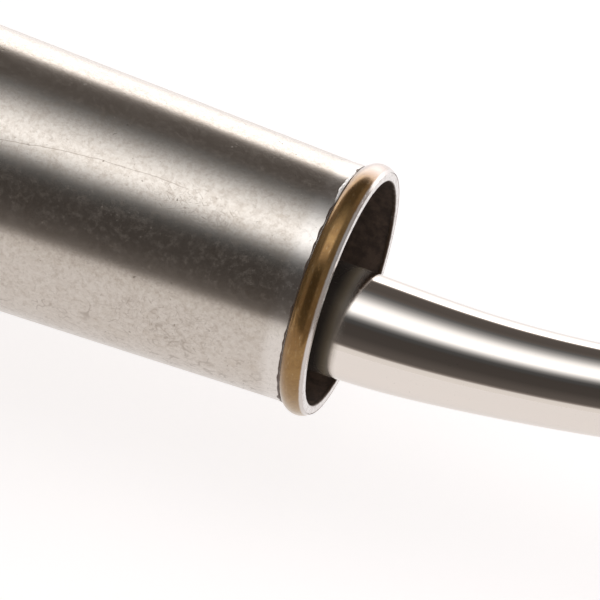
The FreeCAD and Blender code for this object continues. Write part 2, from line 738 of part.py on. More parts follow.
# ---------------------------------------------------------------- needle, spindle and handwheel

def needle():
    """Seated: the cone meets the seat's edge, but for a hair's gap."""
    slope = "((d.needle_radius - d.needle_point) / d.needle_cone)"
    point = f"(-d.seat_rear - d.needle_seating + (d.seat_bore - d.needle_point) / {slope})"
    rear = "-d.needle_rear"
    body = turned("needle", [
        (rear + " - d.pin_length", "0"), (point, "0"), (point, "d.needle_point"),
        (point + " - d.needle_cone", "d.needle_radius"), (rear, "d.needle_radius"),
        (rear, "d.pin_radius"), (rear + " - d.pin_length", "d.pin_radius")])
    publish(body, "needle")


def spindle():
    front = "(-d.needle_rear - d.lock_gap)"
    hole_end = f"({front} - d.pin_length - d.keep_gap)"
    pin_hole = "d.pin_radius + d.running_gap"
    body = turned("spindle", [
        ("-d.spindle_rear", "0"), (hole_end, "0"), (hole_end, pin_hole), (front, pin_hole),
        (front, "d.spindle_radius - d.edge"), (front + " - d.edge", "d.spindle_radius"),
        ("-d.spindle_shoulder", "d.spindle_radius"), ("-d.spindle_shoulder", "d.spindle_stub"),
        ("-d.spindle_rear", "d.spindle_stub")])
    publish(body, "spindle")


def handwheel():
    rear = "(-d.spindle_shoulder - d.wheel_hub_length)"
    middle = "(-d.spindle_shoulder - d.wheel_hub_length / 2)"
    hub = along_x("wheel_hub", "d.wheel_hub", rear, "-d.spindle_shoulder")
    rim = doc.addObject("Part::Torus", "wheel_rim")
    bind(rim, Radius1="d.wheel_radius", Radius2="d.wheel_grip")
    bind(rim, Placement=at(middle, axis=(0, 1, 0), angle="90"))
    spokes = [cylinder(f"wheel_spoke_{i}", "d.spoke_radius", "d.wheel_radius - d.spoke_root",
                       outwards(middle, b, "d.spoke_root"))
              for i, b in enumerate(bearings(SPOKES))]
    bore = along_x("wheel_bore", "d.spindle_stub", rear + " - 1", "-d.spindle_shoulder + 1")
    publish(cut("handwheel", joined("wheel_solid", [hub, rim] + spokes), [bore]), "handwheel")


def wheel_back():
    return "(-d.spindle_shoulder - d.wheel_hub_length)"


def wheel_washer():
    washer = ring("wheel_washer", wheel_back() + " - d.washer_thickness", wheel_back(),
                  "d.spindle_stub", "d.wheel_washer")
    publish(washer, "wheel_washer")


def wheel_nut():
    front = f"({wheel_back()} - d.washer_thickness)"
    rear = f"({front} - d.wheel_nut_length)"
    nut = turned("wheel_nut_blank", [(rear, "d.spindle_stub"), (front, "d.spindle_stub")]
                 + nut_edge(rear, front, "d.wheel_nut_flats"))
    publish(flats("wheel_nut", nut, rear, front, "d.wheel_nut_flats"), "wheel_nut")


# ---------------------------------------------------------------- spout

def pipe_steps(count):
    """The length of a number of the even steps between the spout's sections."""
    return f"({count} * d.pipe_step)"


def bend_place(reach):
    """A place on the bend, at a length beyond the mouth plane: x, z and the angle turned."""
    angle = f"({reach} / d.bend_radius * 180 / pi)"
    return (f"d.bend_radius * sin({angle})", f"d.bend_radius * (1 - cos({angle}))", angle)


def spout_frames():
    """Frames of the spout: at the mouth plane with its bend towards local +Z, and at its tip."""
    root = doc.addObject("App::Placement", "spout_root")
    bind(root, Placement=at("d.mouth_station", "-d.spout_offset * sin(d.spout_roll)",
                            "-d.spout_offset * cos(d.spout_roll)", (1, 0, 0),
                            "-d.spout_roll"))
    tip = doc.addObject("App::Placement", "spout_tip")
    x, z, angle = bend_place(pipe_steps(BENT_STEPS))
    bind(tip, Placement="spout_root.Placement * " + at(x, z=z, axis=(0, 1, 0),
                                                       angle="-" + angle))
    doc.recompute()


def pipe_radius(reach):
    """The spout's outer radius beyond the mouth plane, where it thins along its bend."""
    return f"(d.pipe_tip + (d.pipe_root - d.pipe_tip) / (1 + ({reach} / d.pipe_taper)^2))"


def pipe_loft(name, less):
    """A loft through evenly spaced circles: straight behind the mouth plane, bent beyond it."""
    sections = []
    for step in range(-STRAIGHT_STEPS, BENT_STEPS + 1):
        reach = pipe_steps(step)
        x, z, angle = (reach, "0", "0") if step < 0 else bend_place(reach)
        radius = "d.pipe_root" if step < 0 else pipe_radius(reach)
        circle = doc.addObject("Part::Circle", f"{name}_{step + STRAIGHT_STEPS}")
        bind(circle, Radius=f"{radius} - {less}",
             Placement=at(x, z=z, axis=(0, 1, 0), angle=f"90 - {angle}"))
        sections.append(circle)
    loft = doc.addObject("Part::Loft", name)
    loft.Sections = sections
    loft.Solid = True
    return loft


def nozzle_pipe():
    outside = pipe_loft("pipe_outside", "0")
    inside = pipe_loft("pipe_inside", "d.pipe_wall")
    doc.recompute()
    publish(cut("nozzle_pipe", outside, [inside]), "nozzle_pipe", "spout_root.Placement")


def spout_socket():
    """An eccentric socket that sets the spout off the tail tube's axis."""
    rear = "-d.socket_rear"
    tail_end = "d.tail_front - d.mouth_station"
    blank = along_x("socket_blank", "d.socket_radius", rear, "-d.socket_front")
    pipe_rear = "-" + pipe_steps(STRAIGHT_STEPS)
    mouth = along_x("socket_mouth", "d.pipe_root + d.socket_gap", pipe_rear,
                    "-d.socket_front + 1")
    tail = along_x("socket_tail", "d.tail_radius", rear + " - 1", tail_end,
                   z="d.spout_offset")
    way = along_x("socket_way", "d.tail_bore", rear, pipe_rear + " + 1", z="d.spout_offset")
    socket = cut("spout_socket", blank, [mouth, tail, way])
    publish(socket, "spout_socket", "spout_root.Placement")


# ---------------------------------------------------------------- nozzle at the spout's end

def nozzle_adapter():
    blank = turned("adapter_blank", [
        ("-d.spigot_length", "d.adapter_way"), ("d.nozzle_rear", "d.adapter_way"),
        ("d.nozzle_rear", "d.nozzle_thread"), ("d.adapter_length", "d.nozzle_thread"),
        ("d.adapter_length", "d.adapter_nose - d.edge"),
        ("d.adapter_length - d.edge", "d.adapter_nose"), ("d.adapter_hex", "d.adapter_nose")]
        + nut_edge("0", "d.adapter_hex", "d.adapter_flats")
        + [("0", "d.spigot_radius"), ("-d.spigot_length", "d.spigot_radius")])
    adapter = flats("adapter", blank, "0", "d.adapter_hex", "d.adapter_flats")
    publish(adapter, "nozzle_adapter", "spout_tip.Placement")


def nozzle_body():
    blank = turned("nozzle_blank", [
        ("d.nozzle_rear", "d.nozzle_bore"), ("d.nozzle_bore_end", "d.nozzle_bore"),
        ("d.nozzle_bore_end", "d.tip_bore"), ("d.tip_face", "d.tip_bore"),
        ("d.tip_face", "d.tip_mouth"), ("d.tip_flare_start", "d.tip_mouth"),
        ("d.nozzle_end", "d.tip_flare"), ("d.nozzle_end", "d.nozzle_nose - d.edge"),
        ("d.nozzle_end - d.edge", "d.nozzle_nose"), ("d.nozzle_hex_end", "d.nozzle_nose")]
        + nut_edge("d.adapter_length", "d.nozzle_hex_end", "d.nozzle_flats")
        + [("d.adapter_length", "d.nozzle_thread"), ("d.nozzle_rear", "d.nozzle_thread")])
    body = flats("nozzle", blank, "d.adapter_length", "d.nozzle_hex_end", "d.nozzle_flats")
    publish(body, "nozzle_body", "spout_tip.Placement")


def orifice_disc():
    disc = ring("orifice_disc", "d.tip_face - d.orifice_thickness", "d.tip_face",
                "d.orifice_radius", "d.tip_bore")
    publish(disc, "orifice_disc", "spout_tip.Placement")


def swirl_insert():
    insert = turned("swirl_insert", [
        ("d.swirl_rear", "0"), ("d.swirl_front", "0"), ("d.swirl_front", "d.tip_bore"),
        ("d.swirl_flange_front", "d.tip_bore"), ("d.swirl_flange_front", "d.nozzle_bore"),
        ("d.swirl_flange_rear", "d.nozzle_bore"), ("d.swirl_flange_rear", "d.tip_bore"),
        ("d.swirl_rear", "d.tip_bore")])
    publish(insert, "swirl_insert", "spout_tip.Placement")


def swirl_keeper():
    keeper = ring("swirl_keeper", "d.keeper_rear", "d.swirl_rear", "d.keeper_bore",
                  "d.nozzle_bore")
    publish(keeper, "swirl_keeper", "spout_tip.Placement")


def nozzle_filter():
    inside = "d.filter_radius - d.filter_wall"
    cup = turned("nozzle_filter", [
        ("-d.filter_rear", "0"), ("-d.filter_rear + d.filter_wall", "0"),
        ("-d.filter_rear + d.filter_wall", inside), ("d.keeper_rear", inside),
        ("d.keeper_rear", "d.nozzle_bore"), ("d.nozzle_rear", "d.nozzle_bore"),
        ("d.nozzle_rear", "d.filter_radius"), ("-d.filter_rear", "d.filter_radius")])
    publish(cup, "nozzle_filter", "spout_tip.Placement")


# ---------------------------------------------------------------- checks and export

def check_document():
    """Stop if any object failed, or a sub-part has no sound shape."""
    for obj in doc.Objects:
        if "Invalid" in obj.State or "Error" in obj.State:
            raise RuntimeError(f"{obj.Label} failed: {obj.State}")
    for part in parts:
        if part.Shape.isNull() or not part.Shape.isValid() or not part.Shape.Solids:
            raise RuntimeError(f"{part.Label} has no sound solid")


def export():
    os.makedirs("parts", exist_ok=True)
    for part in parts:
        part.Shape.exportStep(f"parts/{part.Label}.step")
        print(f"{part.Label}: {part.Shape.Volume:.0f} mm3, {len(part.Shape.Solids)} solid(s)")


fill_sheet()
probe = doc.addObject("App::FeaturePython", "probe")
probe.addProperty("App::PropertyFloat", "Result")
spout_frames()

for build in (air_tube, mouth_rim, mouth_bead, bead_solder, mounting_flange, flange_gasket,
              air_drum, drum_screws, stop_pin, shutter_band, shutter_lug, shutter_screw,
              rear_cover, cover_screws, pipe_spider, spider_screws, tail_tube, tail_keepers,
              keeper_screws, valve_body, valve_lock_nut, tail_packing, tail_gland_nut,
              valve_seat, bonnet, bonnet_washer, spindle_packing, spindle_gland_nut,
              inlet_nipple, nipple_washer, inlet_sieve, needle, spindle, handwheel,
              wheel_washer, wheel_nut, nozzle_pipe, spout_socket, nozzle_adapter,
              nozzle_body, orifice_disc, swirl_insert, swirl_keeper, nozzle_filter):
    build()

doc.recompute()
check_document()
export()
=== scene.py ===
"""Looks of the oil burner nozzle: plated air tube, brass bead, polished spout and fittings."""

import json
import math

import bpy
from mathutils import Matrix, Vector, noise


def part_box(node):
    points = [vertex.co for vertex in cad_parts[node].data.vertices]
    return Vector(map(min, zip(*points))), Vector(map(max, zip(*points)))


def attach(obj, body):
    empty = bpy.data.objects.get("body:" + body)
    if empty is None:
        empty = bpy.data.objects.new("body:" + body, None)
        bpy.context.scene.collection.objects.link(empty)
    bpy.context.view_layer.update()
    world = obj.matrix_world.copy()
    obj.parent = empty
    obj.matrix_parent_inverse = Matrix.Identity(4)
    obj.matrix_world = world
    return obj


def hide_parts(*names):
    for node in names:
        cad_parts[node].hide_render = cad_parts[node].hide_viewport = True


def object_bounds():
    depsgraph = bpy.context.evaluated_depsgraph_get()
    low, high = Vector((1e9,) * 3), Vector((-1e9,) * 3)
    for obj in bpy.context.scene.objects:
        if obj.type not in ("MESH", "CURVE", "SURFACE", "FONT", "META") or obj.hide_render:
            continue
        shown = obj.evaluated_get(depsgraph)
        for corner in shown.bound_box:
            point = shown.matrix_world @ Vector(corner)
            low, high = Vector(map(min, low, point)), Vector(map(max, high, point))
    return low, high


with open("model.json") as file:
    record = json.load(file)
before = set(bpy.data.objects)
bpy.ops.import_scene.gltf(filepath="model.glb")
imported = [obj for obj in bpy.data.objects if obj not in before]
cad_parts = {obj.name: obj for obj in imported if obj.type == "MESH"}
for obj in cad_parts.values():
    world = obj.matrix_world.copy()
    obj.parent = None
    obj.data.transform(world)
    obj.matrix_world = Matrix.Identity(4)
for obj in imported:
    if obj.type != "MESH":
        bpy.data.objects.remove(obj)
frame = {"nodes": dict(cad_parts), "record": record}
cad_low, cad_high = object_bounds()

MM = 0.001
TAU = 2 * math.pi
SLOT_OF = {part["node"]: part["material_slot"] for part in frame["record"]["subparts"]}

# ------------------------------------------------------------------ places, from the frame

MOUTH_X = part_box("mouth_rim")[1].x
RIM_REAR_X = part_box("mouth_rim")[0].x
RIM_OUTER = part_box("mouth_rim")[1].z
BEAD_REAR_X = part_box("mouth_bead")[0].x
TUBE_REAR_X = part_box("air_tube")[0].x
TUBE_REAR_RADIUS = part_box("air_tube")[1].z

# sizes that the CAD has and the frame doesn't list
RIM_INNER = 24.2 * MM
BEAD_CURVE = 3.38 * MM
TUBE_TAPER = 0.037
SHEET_WALL = 0.9 * MM

# the spout's centre line and its thinning, as the CAD has them
SPOUT_OFFSET = 5.89 * MM
SPOUT_ROLL = math.radians(61.1)
BEND_RADIUS = 350 * MM
PIPE_ROOT = 11.65 * MM
PIPE_TIP = 8.4 * MM
PIPE_TAPER = 36 * MM
PIPE_WALL = 1.5 * MM
PIPE_REAR = 62.5 * MM
PIPE_REACH = 100 * MM

# how finely the turned skins are cut, and how far inside the CAD's surface they lie, so that
# their bumps have room
ROUND = 384
TUBE_OUTSIDE, TUBE_INSIDE = 150, 50
TUBE_INSET = 0.06 * MM
BEAD_INSET = 0.03 * MM


def tube_radius(x):
    """The air tube's outer radius at a place along it."""
    return TUBE_REAR_RADIUS - TUBE_TAPER * (x - TUBE_REAR_X)


# ------------------------------------------------------------------ mesh helpers

def new_piece(name, surface, materials, body, node, sharp=40):
    """A smooth mesh object, with sharp edges past an angle, that stands for a CAD node."""
    verts, faces = surface
    mesh = bpy.data.meshes.new(name)
    mesh.from_pydata(verts, [], faces)
    mesh.validate()
    mesh.shade_smooth()
    mesh.set_sharp_from_angle(angle=math.radians(sharp))
    for material in materials:
        mesh.materials.append(material)
    piece = bpy.data.objects.new(name, mesh)
    bpy.context.scene.collection.objects.link(piece)
    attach(piece, body)
    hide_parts(node)
    return piece


def walls_between(pairs, count):
    """Faces between pairs of rings, given by number, with a count of points in each ring."""
    return [(near * count + j, near * count + k, far * count + k, far * count + j)
            for near, far in pairs for j, k in zip(range(count), [*range(1, count), 0])]


def ring_mesh(rings):
    """A closed surface through rings of points, the last ring joined to the first."""
    verts = [point for ring in rings for point in ring]
    pairs = [(i, (i + 1) % len(rings)) for i in range(len(rings))]
    return verts, walls_between(pairs, len(rings[0]))


def round_point(x, radius, bearing):
    """A point round the X axis, its bearing counted from the top."""
    return (x, -radius * math.sin(bearing), radius * math.cos(bearing))


def turned_rings(profile, count, wobble=None):
    """Rings about X through a closed profile of (x, radius) points, in order round its section."""
    rings = []
    for x, radius in profile:
        ring = []
        for j in range(count):
            bearing = TAU * j / count
            out = radius + (wobble(x, bearing, radius) if wobble else 0)
            ring.append(round_point(x, out, bearing))
        rings.append(ring)
    return rings


def round_edges(piece, name, width, degrees):
    """A small round, its width in millimetres, on a piece's edges past an angle."""
    bevel = piece.modifiers.new(name, "BEVEL")
    bevel.width = width * MM
    bevel.segments = 2
    bevel.limit_method = "ANGLE"
    bevel.angle_limit = math.radians(degrees)
    return bevel


def steps(start, end, count):
    """Evenly spaced numbers from start up to, but not including, end."""
    return [start + (end - start) * i / count for i in range(count)]


def smooth_noise(x, bearing, radius, size, seed):
    """A smooth value from -1 to 1 over a turned surface, with features of about the given size."""
    spot = Vector((x, radius * math.sin(bearing), radius * math.cos(bearing))) / size
    return noise.noise(spot + Vector((seed, 0, 0)))


# ------------------------------------------------------------------ material helpers

class Nodes:
    """Shader nodes, added to one tree a few at a time."""

    def __init__(self, tree):
        self.tree = tree
        self.object_place = None

    def node(self, kind, settings=None, **inputs):
        """A new node, its settings set and its inputs fed."""
        node = self.tree.nodes.new(kind)
        for key, setting in (settings or {}).items():
            setattr(node, key, setting)
        for key, given in inputs.items():
            self.feed(node.inputs[key.replace("_", " ")], given)
        return node

    def feed(self, socket, given):
        """Link a socket to another one's output, or set it to a value."""
        if isinstance(given, bpy.types.NodeSocket):
            self.tree.links.new(given, socket)
        else:
            socket.default_value = given

    def math(self, operation, *values):
        """What a Math node makes of one or two values."""
        node = self.tree.nodes.new("ShaderNodeMath")
        node.operation = operation
        for socket, given in zip(node.inputs, values):
            self.feed(socket, given)
        return node.outputs[0]

    def times(self, first, second):
        return self.math("MULTIPLY", first, second)

    def plus(self, first, second):
        return self.math("ADD", first, second)

    def most(self, first, second):
        return self.math("MAXIMUM", first, second)

    def less(self, value, whole=1.0):
        """What is left of a whole without a value."""
        return self.math("SUBTRACT", whole, value)

    def away(self, value, middle):
        """How far a value is from a middle."""
        return self.math("ABSOLUTE", self.math("SUBTRACT", value, middle))

    def ramp(self, value, slope, start):
        """A start, and a slope times the value on top of it."""
        return self.plus(self.times(value, slope), start)

    def spread(self, value, low, high, to_low=0.0, to_high=1.0):
        """Map a value smoothly from one range to another."""
        node = self.node("ShaderNodeMapRange", {"interpolation_type": "SMOOTHSTEP"}, Value=value)
        for key, given in (("From Min", low), ("From Max", high), ("To Min", to_low),
                           ("To Max", to_high)):
            node.inputs[key].default_value = given
        return node.outputs["Result"]

    def fade(self, value, low, high):
        """1 up to the low value, and smoothly down to 0 at the high one."""
        return self.spread(value, low, high, 1.0, 0.0)

    def mix(self, amount, first, second):
        """A colour an amount of the way from a first to a second."""
        node = self.node("ShaderNodeMix", {"data_type": "RGBA"})
        self.feed(node.inputs[0], amount)
        self.feed(node.inputs[6], first)
        self.feed(node.inputs[7], second)
        return node.outputs[2]

    def tint(self, under, *layers):
        """A colour with layers of (cover, strength, colour) laid over it in order."""
        for cover, strength, color in layers:
            under = self.mix(self.times(cover, strength), under, color)
        return under

    def split(self, vector):
        """The x, y and z of a vector."""
        return self.node("ShaderNodeSeparateXYZ", Vector=vector).outputs

    def from_axis(self, parts):
        """The distance of a split place from the X axis."""
        return self.math("SQRT", self.plus(self.times(parts[1], parts[1]),
                                           self.times(parts[2], parts[2])))

    def millimetres(self):
        """The place on the object, in millimetres."""
        if self.object_place is None:
            where = self.node("ShaderNodeTexCoord").outputs["Object"]
            scaled = self.node("ShaderNodeVectorMath", {"operation": "SCALE"})
            self.tree.links.new(where, scaled.inputs[0])
            scaled.inputs["Scale"].default_value = 1 / MM
            self.object_place = scaled.outputs[0]
        return self.object_place

    def moved(self, source, scale=(1, 1, 1), turn=(0, 0, 0), shift=(0, 0, 0)):
        """A place scaled, turned and shifted."""
        node = self.node("ShaderNodeMapping", Vector=source)
        node.inputs["Scale"].default_value = scale
        node.inputs["Rotation"].default_value = turn
        node.inputs["Location"].default_value = shift
        return node.outputs[0]

    def unrolled(self, radius):
        """A turned surface laid flat: (along, round, 0) in millimetres, round from the top."""
        parts = self.split(self.millimetres())
        turn = self.math("ARCTAN2", self.times(parts[1], -1.0), parts[2])
        flat = self.node("ShaderNodeCombineXYZ", X=parts[0])
        self.feed(flat.inputs[1], self.times(turn, radius))
        return flat.outputs[0]

    def noise(self, spot, detail=2.0, roughness=0.5, distortion=0.0):
        """Fractal noise at a place."""
        node = self.node("ShaderNodeTexNoise", Vector=spot, Scale=1.0, Detail=detail,
                         Roughness=roughness, Distortion=distortion)
        return node.outputs["Fac"]

    def clouds(self, fineness, detail=2.0, roughness=0.5, distortion=0.0, shift=(0, 0, 0)):
        """Noise over the object, its fineness per millimetre given once or for each axis."""
        scale = fineness if isinstance(fineness, tuple) else (fineness,) * 3
        spot = self.moved(self.millimetres(), scale, shift=shift)
        return self.noise(spot, detail, roughness, distortion)

    def bump(self, height, depth, under=None):
        """A bump of the given depth in millimetres, laid over another normal."""
        node = self.node("ShaderNodeBump", Height=height, Strength=1.0)
        node.inputs["Distance"].default_value = depth * MM
        if under is not None:
            self.feed(node.inputs["Normal"], under)
        return node.outputs[0]


class Look(Nodes):
    """A material with one Principled shader."""

    def __init__(self, name):
        self.material = bpy.data.materials.new(name)
        self.material.use_nodes = True
        super().__init__(self.material.node_tree)
        self.shader = self.tree.nodes["Principled BSDF"]

    def finish(self, color, roughness, normal, metallic, **constants):
        """Feed the shader, with any other inputs set to constants, and give the material."""
        for key, given in (("Base Color", color), ("Roughness", roughness), ("Normal", normal),
                           ("Metallic", metallic)):
            self.feed(self.shader.inputs[key], given)
        for key, given in constants.items():
            self.shader.inputs[key.replace("_", " ")].default_value = given
        return self.material


def rgb(red, green, blue):
    return (red, green, blue, 1.0)


def scratches(look, flat, direction, length, share, seed):
    """Short straight scratches: 1 on a scratch, 0 elsewhere."""
    fineness, soft = 4.0, 0.03
    turned = look.moved(flat, turn=(0, 0, math.radians(direction)),
                        shift=(seed * 3.7, seed * 1.9, seed))
    streak = look.noise(look.moved(turned, (1 / length, fineness, 1)), 1.0)
    return look.spread(streak, share, share + soft)


def hairlines(look, scale, share, seed):
    """Long curved hairlines, broken into stretches: 1 on a line, 0 elsewhere."""
    bend = look.clouds(scale, 1.0, 0.5, 0.15, shift=(seed, seed * 1.7, seed * 2.3))
    line = look.fade(look.away(bend, 0.5), 0.02 * scale, 0.12 * scale)
    stretch = look.clouds(scale * 0.8, shift=(seed * 5, seed, 0))
    return look.times(line, look.spread(stretch, share, share + 0.05))


def patch(look, flat, along, round_from_top, length, height):
    """A soft-edged oval on an unrolled surface, 1 in its middle; all in millimetres."""
    centred = look.moved(flat, (1 / length, 1 / height, 0),
                         shift=(-along / length, -round_from_top / height, 0))
    far = look.node("ShaderNodeVectorMath", {"operation": "LENGTH"})
    look.feed(far.inputs[0], centred)
    return look.fade(far.outputs["Value"], 0.5, 1.0)


# ------------------------------------------------------------------ studio

# radiance of the room round the tube's axis: degrees up from the near horizon, and brightness
ROOM = ((-180, 2.9), (-172, 2.9), (-160, 1.0), (0, 1.0), (10, 0.95), (13, 0.3), (17, 0.14),
        (26, 0.12), (40, 0.075), (60, 0.07), (68, 0.09), (74, 0.3), (80, 0.85), (86, 1.6),
        (92, 1.95), (98, 1.95), (104, 1.7), (112, 1.3), (120, 0.74), (128, 0.38), (137, 0.15),
        (150, 0.11), (170, 0.12), (175, 0.4), (179, 2.9))
ROOM_FULL = 3

# the room's two ends, by the x of a direction, and how bright they are
FRONT_END, REAR_END, END_BRIGHTNESS = (0.12, 0.36), (-0.78, -0.58), 0.4

# the overhead softbox is cooler: its middle as a share of the turn, and how far it reaches
SOFTBOX, SOFTBOX_REACH = 0.78, (0.10, 0.12)

BACKDROP = rgb(0.985, 0.955, 0.945)

# half the floor's side, its gap under the object, and its glow at two depths in millimetres
FLOOR_HALF, FLOOR_GAP = 6.0, 0.4 * MM
FLOOR_NEAR, FLOOR_FAR = (75, 0.80), (260, 2.1)

# the camera's place, and how far left of and below the mouth's centre it aims
AZIMUTH, ELEVATION = math.radians(22.754), math.radians(57.896)
DISTANCE, LENS, SENSOR = 700 * MM, 205.76, 36
AIM_LEFT, AIM_BELOW = 10.548 * MM, 1.261 * MM


def studio():
    """A pale backdrop; round the object, a dark room with one long overhead softbox."""
    world = bpy.data.worlds.new("studio")
    bpy.context.scene.world = world
    world.use_nodes = True
    look = Nodes(world.node_tree)
    background = look.tree.nodes["Background"]
    parts = look.split(look.node("ShaderNodeTexCoord").outputs["Generated"])
    turn = look.math("ARCTAN2", parts[2], look.times(parts[1], -1.0))
    share = look.ramp(turn, 0.5 / math.pi, 0.5)
    ramp = look.node("ShaderNodeValToRGB", Fac=share)
    stops = ramp.color_ramp.elements
    while len(stops) < len(ROOM):
        stops.new(1.0)
    for stop, (degrees, brightness) in zip(stops, ROOM):
        stop.position = (degrees + 180) / 360
        stop.color = rgb(*[brightness / ROOM_FULL] * 3)
    around = look.times(ramp.outputs["Color"], ROOM_FULL)
    ends = look.most(look.spread(parts[0], *FRONT_END), look.fade(parts[0], *REAR_END))
    bright = look.plus(look.times(around, look.less(ends)), look.times(ends, END_BRIGHTNESS))
    warm = look.mix(look.spread(bright, 0.05, 0.9), rgb(1.0, 0.88, 0.81), rgb(1.0, 0.965, 0.94))
    above = look.fade(look.away(share, SOFTBOX), *SOFTBOX_REACH)
    room = look.mix(above, warm, rgb(0.975, 0.985, 1.0))
    seen = look.node("ShaderNodeLightPath").outputs["Is Camera Ray"]
    look.feed(background.inputs["Color"], look.mix(seen, room, BACKDROP))
    strength = look.node("ShaderNodeMix", {"data_type": "FLOAT"})
    for index, given in ((0, seen), (2, bright), (3, 1.0)):
        look.feed(strength.inputs[index], given)
    look.feed(background.inputs["Strength"], strength.outputs[0])


def floor():
    """A large pale floor under the object, lit more strongly beyond it."""
    mesh = bpy.data.meshes.new("floor")
    level = cad_low.z - FLOOR_GAP
    corners = ((-1, -1), (1, -1), (1, 1), (-1, 1))
    mesh.from_pydata([(x * FLOOR_HALF, y * FLOOR_HALF, level) for x, y in corners], [],
                     [(0, 1, 2, 3)])
    look = Look("floor_paper")
    grain = look.clouds(0.4, 3.0)
    (near, dim), (far, lit) = FLOOR_NEAR, FLOOR_FAR
    depth = look.split(look.millimetres())[1]
    look.feed(look.shader.inputs["Emission Strength"], look.spread(depth, near, far, dim, lit))
    paper = look.mix(grain, rgb(0.46, 0.44, 0.435), rgb(0.48, 0.46, 0.455))
    look.feed(look.shader.inputs["Base Color"], paper)
    for key, given in (("Roughness", 0.9), ("Specular IOR Level", 0.1),
                       ("Emission Color", rgb(1.0, 0.978, 0.976))):
        look.shader.inputs[key].default_value = given
    mesh.materials.append(look.material)
    sheet = bpy.data.objects.new("floor", mesh)
    bpy.context.scene.collection.objects.link(sheet)


def camera():
    """A long lens looking down on the tube's mouth from its near side."""
    back = Vector((math.sin(AZIMUTH) * math.cos(ELEVATION),
                   -math.cos(AZIMUTH) * math.cos(ELEVATION), math.sin(ELEVATION)))
    right = Vector((math.cos(AZIMUTH), math.sin(AZIMUTH), 0))
    target = Vector((MOUTH_X, 0, 0)) - right * AIM_LEFT - back.cross(right) * AIM_BELOW
    data = bpy.data.cameras.new("camera")
    data.sensor_width = SENSOR
    data.lens = LENS
    data.clip_start, data.clip_end = 0.01, 20
    eye = bpy.data.objects.new("camera", data)
    eye.location = target + back * DISTANCE
    eye.rotation_mode = "QUATERNION"
    eye.rotation_quaternion = (-back).to_track_quat("-Z", "Y")
    bpy.context.scene.collection.objects.link(eye)
    bpy.context.scene.camera = eye


# ------------------------------------------------------------------ finishes

# the skin is laid flat at this radius; its worn ovals are (along, round, length, height)
SKIN_RADIUS = 27
HANDLED = ((89, 8, 13, 6), (90, 35, 16, 8))
SCUFFED = (84, 46, 44, 15)
CLEAN_FRONT = (109.2, 112.6)

# the long scratch: where it is flattest along the tube, how far round, its curve and its end
SCRATCH_X, SCRATCH_ROUND, SCRATCH_CURVE, SCRATCH_END = 81.0, 4.75, 0.0033, (84.0, 88.0)

# zones of the bead, lip, solder and spout, in millimetres
# the bead's zones: its painted floor reflection low down, its painted sky reflection on its right
# side, and its lip
BEAD_FLOOR_REFLECTION, BEAD_SKY_REFLECTION, BEAD_LIP = (-18, 10), (12, 21), (119.4, 119.7)
LIP_SOOTY = (24.45, 24.8)
# where the solder's top blob is painted pale: partly bright tin, partly a painted highlight
TIN_HIGHLIGHT_START, TIN_HIGHLIGHT_END, TIN_HIGHLIGHT_ABOVE = (3, 5), (13, 16), (18, 22)
# the spout root's painted shade and painted olive reflection of the tube's inside, and its darkest
# painted shade inside the mouth
ROOT_PAINTED_SHADE, ROOT_PAINTED_DARKEST = (121.0, 124.5), (118.2, 121.2)


def worn_nickel():
    """Old nickel plate: a fine satin mottle, dark hairlines, scuffs, pits and a cleaner front."""
    look = Look("worn_nickel")
    flat = look.unrolled(SKIN_RADIUS)
    cloud = look.clouds(0.07, 4.0, 0.6)
    mottle = look.clouds(1.1, 6.0, 0.7)
    grime = look.spread(look.clouds((0.16, 0.2, 0.2), 7.0, 0.72, shift=(7, 3, 1)), 0.50, 0.75)
    front = look.spread(look.split(flat)[0], *CLEAN_FRONT)
    pits = look.spread(look.clouds(1.7, 3.0, 0.7), 0.685, 0.74)
    specks = look.spread(look.clouds(0.8, 2.0, 0.6, shift=(2, 9, 4)), 0.715, 0.76)
    flecks = look.spread(look.clouds(0.75, 5.0, 0.75, shift=(4, 1, 6)), 0.46, 0.66)
    marks = look.times(skin_marks(look, flat), look.less(front))
    clean = look.mix(look.spread(mottle, 0.36, 0.66), rgb(0.56, 0.515, 0.465),
                     rgb(0.50, 0.45, 0.40))
    color = look.tint(clean, (flecks, 0.24, rgb(0.33, 0.26, 0.20)),
                      (grime, 0.30, rgb(0.36, 0.29, 0.22)), (front, 0.75, rgb(0.67, 0.63, 0.59)),
                      (pits, 0.5, rgb(0.18, 0.14, 0.11)), (specks, 0.8, rgb(0.13, 0.095, 0.07)),
                      (marks, 0.5, rgb(0.22, 0.175, 0.14)))
    dulled = look.plus(look.ramp(cloud, 0.08, 0.12), look.times(mottle, 0.09))
    rough = look.plus(dulled, look.times(marks, 0.05))
    waves = look.bump(look.clouds(0.25, 3.0), 0.016)
    grained = look.bump(mottle, 0.0018, waves)
    dug = look.bump(look.less(look.most(pits, specks)), 0.012, grained)
    scored = look.bump(look.less(marks), 0.0025, dug)
    bare = look.less(look.times(flecks, 0.16))
    return look.finish(color, rough, scored, bare)


def skin_marks(look, flat):
    """The skin's hairlines, ticks and long scratch: 1 on a mark, 0 elsewhere."""
    handled = look.most(*[patch(look, flat, *oval) for oval in HANDLED])
    scuffed = patch(look, flat, *SCUFFED)
    hair = look.most(hairlines(look, 0.10, 0.56, 3), hairlines(look, 0.2, 0.56, 8))
    hair = look.times(look.most(hair, hairlines(look, 0.3, 0.54, 21)),
                      look.spread(scuffed, 0.0, 1.0, 0.15, 0.9))
    curls = look.times(hairlines(look, 0.34, 0.58, 14), look.times(handled, 0.6))
    ticks = scratches(look, flat, -40, 2.2, 0.66, 4)
    for direction, seed in ((25, 9), (75, 15), (-12, 22)):
        ticks = look.most(ticks, scratches(look, flat, direction, 2.6, 0.67, seed))
    ticks = look.times(ticks, look.spread(handled, 0.0, 1.0, 0.18, 1.0))
    return look.most(look.most(hair, curls), look.most(ticks, long_scratch(look, flat)))


